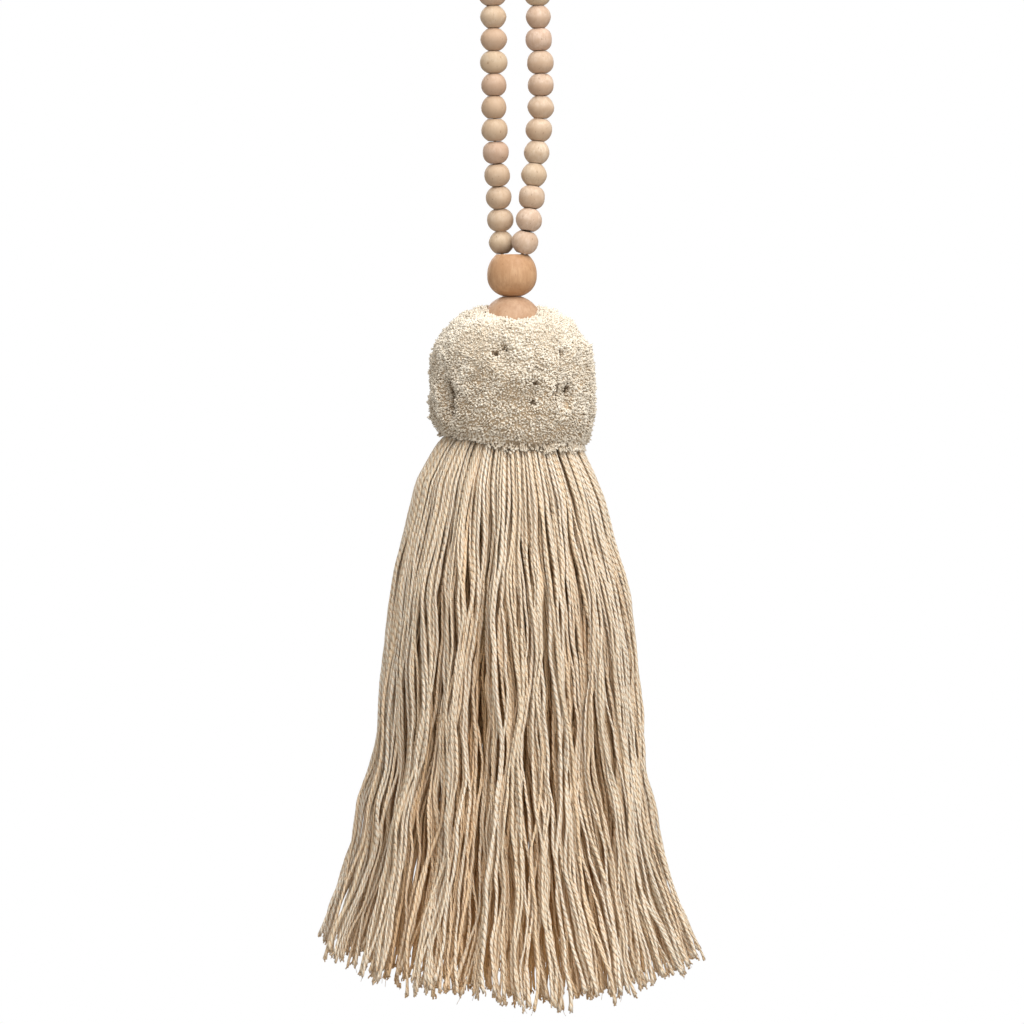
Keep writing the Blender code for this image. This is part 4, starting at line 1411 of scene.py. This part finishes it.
def build_cord(settings):
    """The cord through all the beads, with both ends down on the skirt's head."""
    foot = -(HEAD_DROP - HEAD_THICKNESS - GAP)
    throat = -(upper_bead_drop() - UPPER_LENGTH / 2 + UPPER_DISH_DEPTH)
    left_end = [Vector((-CORD_APART, 0.0, z)) for z in (foot, throat)]
    right_end = [Vector((CORD_APART, 0.0, z)) for z in (throat, foot)]
    joints = left_end + leg_joints("left")[::-1] + top_joints()[1:-1] + leg_joints("right") + right_end
    route = []
    for start, end in zip(joints, joints[1:]):
        parts = max(2, int((end - start).length / (1.7 * MM)))
        route += [start.lerp(end, i / parts) for i in range(parts)]
    route.append(joints[-1])
    sides = 8
    rings = []
    across = Vector((0.0, 1.0, 0.0))
    for i, place in enumerate(route):
        way = (route[min(i + 1, len(route) - 1)] - route[max(i - 1, 0)]).normalized()
        first = (across - way * across.dot(way)).normalized()
        second = way.cross(first)
        ring = []
        for side in range(sides):
            angle = math.tau * side / sides
            lobe = 0.84 + 0.16 * abs(math.sin(angle - math.tau * i / 8))
            ring.append(place + (first * math.cos(angle) + second * math.sin(angle)) * CORD_RADIUS * lobe)
        rings.append(ring)
    points = np.array([[[tuple(place) for place in ring] for ring in rings]])
    mesh = tube_mesh("cord", points[:, :, ::-1])
    add_piece("cord", mesh, cord_material(settings), ("loop_cord",))


# Stage


def aim(thing, target):
    thing.rotation_euler = (Vector(target) - thing.location).to_track_quat("-Z", "Y").to_euler()


def add_lamp(row, key_power):
    """A square lamp from a row of the table, aimed at the tassel's middle."""
    lamp = bpy.data.lights.new(row["name"], "AREA")
    lamp.shape = "SQUARE"
    lamp.size = row["size"]
    lamp.energy = key_power * row["power"]
    lamp.color = (1.0, 0.99, 0.97)
    light = bpy.data.objects.new(row["name"], lamp)
    bpy.context.scene.collection.objects.link(light)
    light.location = row["place"]
    aim(light, LAMP_TARGET)


def split_by_camera(tree, lit, seen, out):
    """Shows one shader to the camera and the other to everything else."""
    mixed = add_node(tree, "ShaderNodeMixShader")
    set_input(tree, mixed, 0, add_node(tree, "ShaderNodeLightPath").outputs["Is Camera Ray"])
    set_input(tree, mixed, 1, lit.outputs[0])
    set_input(tree, mixed, 2, seen.outputs[0])
    set_input(tree, out, "Surface", mixed.outputs[0])


def build_world(settings):
    """Even light from all round, in front of plain white."""
    world = bpy.data.worlds.new("studio")
    world.use_nodes = True
    tree = world.node_tree
    tree.nodes.clear()
    ambient = add_node(tree, "ShaderNodeBackground")
    parts = add_node(tree, "ShaderNodeSeparateXYZ")
    tree.links.new(add_node(tree, "ShaderNodeTexCoord").outputs["Generated"], parts.inputs[0])
    upper = spread_node(tree, parts.outputs["Z"], -0.6, 0.7)
    set_input(tree, ambient, "Color", mix_node(tree, upper, (0.58, 0.47, 0.37), (1.0, 0.985, 0.96)))
    set_input(tree, ambient, "Strength", settings.ambient)
    white = add_node(tree, "ShaderNodeBackground")
    set_input(tree, white, "Color", (1.0, 1.0, 1.0))
    set_input(tree, white, "Strength", 1.0)
    split_by_camera(tree, ambient, white, add_node(tree, "ShaderNodeOutputWorld"))
    bpy.context.scene.world = world


def build_floor():
    """A plain pale floor far below the tassel."""
    size, height = 12.0, -0.9
    corners = [(-size, -size, height), (size, -size, height), (size, size, height), (-size, size, height)]
    mesh = new_mesh("floor", np.array(corners), np.array([[0, 1, 2, 3]]))
    floor = bpy.data.objects.new("floor", mesh)
    bpy.context.scene.collection.objects.link(floor)
    made, shader = new_material("pale floor", 0.9)
    tree = made.node_tree
    shader.inputs["Base Color"].default_value = (0.5, 0.5, 0.5, 1.0)
    bright = add_node(tree, "ShaderNodeEmission")
    set_input(tree, bright, "Color", (1.0, 1.0, 1.0))
    set_input(tree, bright, "Strength", 1.0)
    split_by_camera(tree, shader, bright, tree.nodes["Material Output"])
    mesh.materials.append(made)


def build_stage(settings):
    scene = bpy.context.scene
    lift = settings.camera_lift
    lens = bpy.data.cameras.new("camera")
    lens.sensor_width = 36.0
    lens.lens = lens.sensor_width * settings.camera_distance / PICTURE_WIDTH
    lens.clip_end = 60.0
    camera = bpy.data.objects.new("camera", lens)
    scene.collection.objects.link(camera)
    away = Vector((0.0, -math.cos(lift), math.sin(lift)))
    camera.location = Vector(CAMERA_TARGET) + away * settings.camera_distance
    aim(camera, CAMERA_TARGET)
    scene.camera = camera
    for row in LAMPS:
        add_lamp(row, settings.key_power)
    build_world(settings)
    build_floor()
    scene.view_settings.view_transform = "Standard"


# Operators


class TASSEL_OT_stage(bpy.types.Operator):
    """Add the camera, the studio light and the floor."""

    bl_idname = "tassel.stage"
    bl_label = "Stage"

    def execute(self, context):
        build_stage(context.scene.tassel_stage)
        return {"FINISHED"}


class TASSEL_OT_outer_yarn(bpy.types.Operator):
    """Build the twisted strands on the outside of the skirt."""

    bl_idname = "tassel.outer_yarn"
    bl_label = "Outer Yarn"

    def execute(self, context):
        build_outer_yarn(context.scene.tassel_yarn)
        return {"FINISHED"}


class TASSEL_OT_inner_yarn(bpy.types.Operator):
    """Build the strands inside the skirt and its bound head."""

    bl_idname = "tassel.inner_yarn"
    bl_label = "Inner Yarn"

    def execute(self, context):
        build_inner_yarn(context.scene.tassel_yarn)
        return {"FINISHED"}


class TASSEL_OT_cut_ends(bpy.types.Operator):
    """Build the frayed ends of the strands."""

    bl_idname = "tassel.cut_ends"
    bl_label = "Cut Ends"

    def execute(self, context):
        build_cut_ends(context.scene.tassel_yarn)
        return {"FINISHED"}


class TASSEL_OT_pompom(bpy.types.Operator):
    """Build the pompom's cut pile."""

    bl_idname = "tassel.pompom"
    bl_label = "Pompom"

    def execute(self, context):
        build_pompom(context.scene.tassel_pompom)
        return {"FINISHED"}


class TASSEL_OT_small_beads(bpy.types.Operator):
    """Build the pale beads of the loop."""

    bl_idname = "tassel.small_beads"
    bl_label = "Small Beads"

    def execute(self, context):
        build_small_beads(context.scene.tassel_beads)
        return {"FINISHED"}


class TASSEL_OT_large_beads(bpy.types.Operator):
    """Build the two large beads over the pompom."""

    bl_idname = "tassel.large_beads"
    bl_label = "Large Beads"

    def execute(self, context):
        build_large_beads(context.scene.tassel_beads)
        return {"FINISHED"}


class TASSEL_OT_cord(bpy.types.Operator):
    """Build the cord that the beads are threaded on."""

    bl_idname = "tassel.cord"
    bl_label = "Cord"

    def execute(self, context):
        build_cord(context.scene.tassel_beads)
        return {"FINISHED"}


BUILD_ORDER = (
    TASSEL_OT_stage,
    TASSEL_OT_small_beads,
    TASSEL_OT_large_beads,
    TASSEL_OT_cord,
    TASSEL_OT_pompom,
    TASSEL_OT_outer_yarn,
    TASSEL_OT_inner_yarn,
    TASSEL_OT_cut_ends,
)
SETTINGS = (
    ("tassel_yarn", TasselYarnSettings),
    ("tassel_pompom", TasselPompomSettings),
    ("tassel_beads", TasselBeadSettings),
    ("tassel_stage", TasselStageSettings),
)


class TASSEL_PT_build(bpy.types.Panel):
    """Sizes, colours and building steps of the tassel."""

    bl_idname = "TASSEL_PT_build"
    bl_label = "Pompom Tassel"
    bl_space_type = "VIEW_3D"
    bl_region_type = "UI"
    bl_category = "Tassel"

    def draw(self, context):
        for name, group in SETTINGS:
            box = self.layout.box()
            for setting in group.__annotations__:
                box.prop(getattr(context.scene, name), setting)
        for step in BUILD_ORDER:
            self.layout.operator(step.bl_idname)


def register():
    for name, group in SETTINGS:
        bpy.utils.register_class(group)
        setattr(bpy.types.Scene, name, PointerProperty(type=group))
    for step in BUILD_ORDER:
        bpy.utils.register_class(step)
    bpy.utils.register_class(TASSEL_PT_build)


def unregister():
    bpy.utils.unregister_class(TASSEL_PT_build)
    for step in reversed(BUILD_ORDER):
        bpy.utils.unregister_class(step)
    for name, group in reversed(SETTINGS):
        delattr(bpy.types.Scene, name)
        bpy.utils.unregister_class(group)


def main():
    register()
    for step in BUILD_ORDER:
        family, name = step.bl_idname.split(".")
        getattr(getattr(bpy.ops, family), name)()


if __name__ == "__main__":
    main()
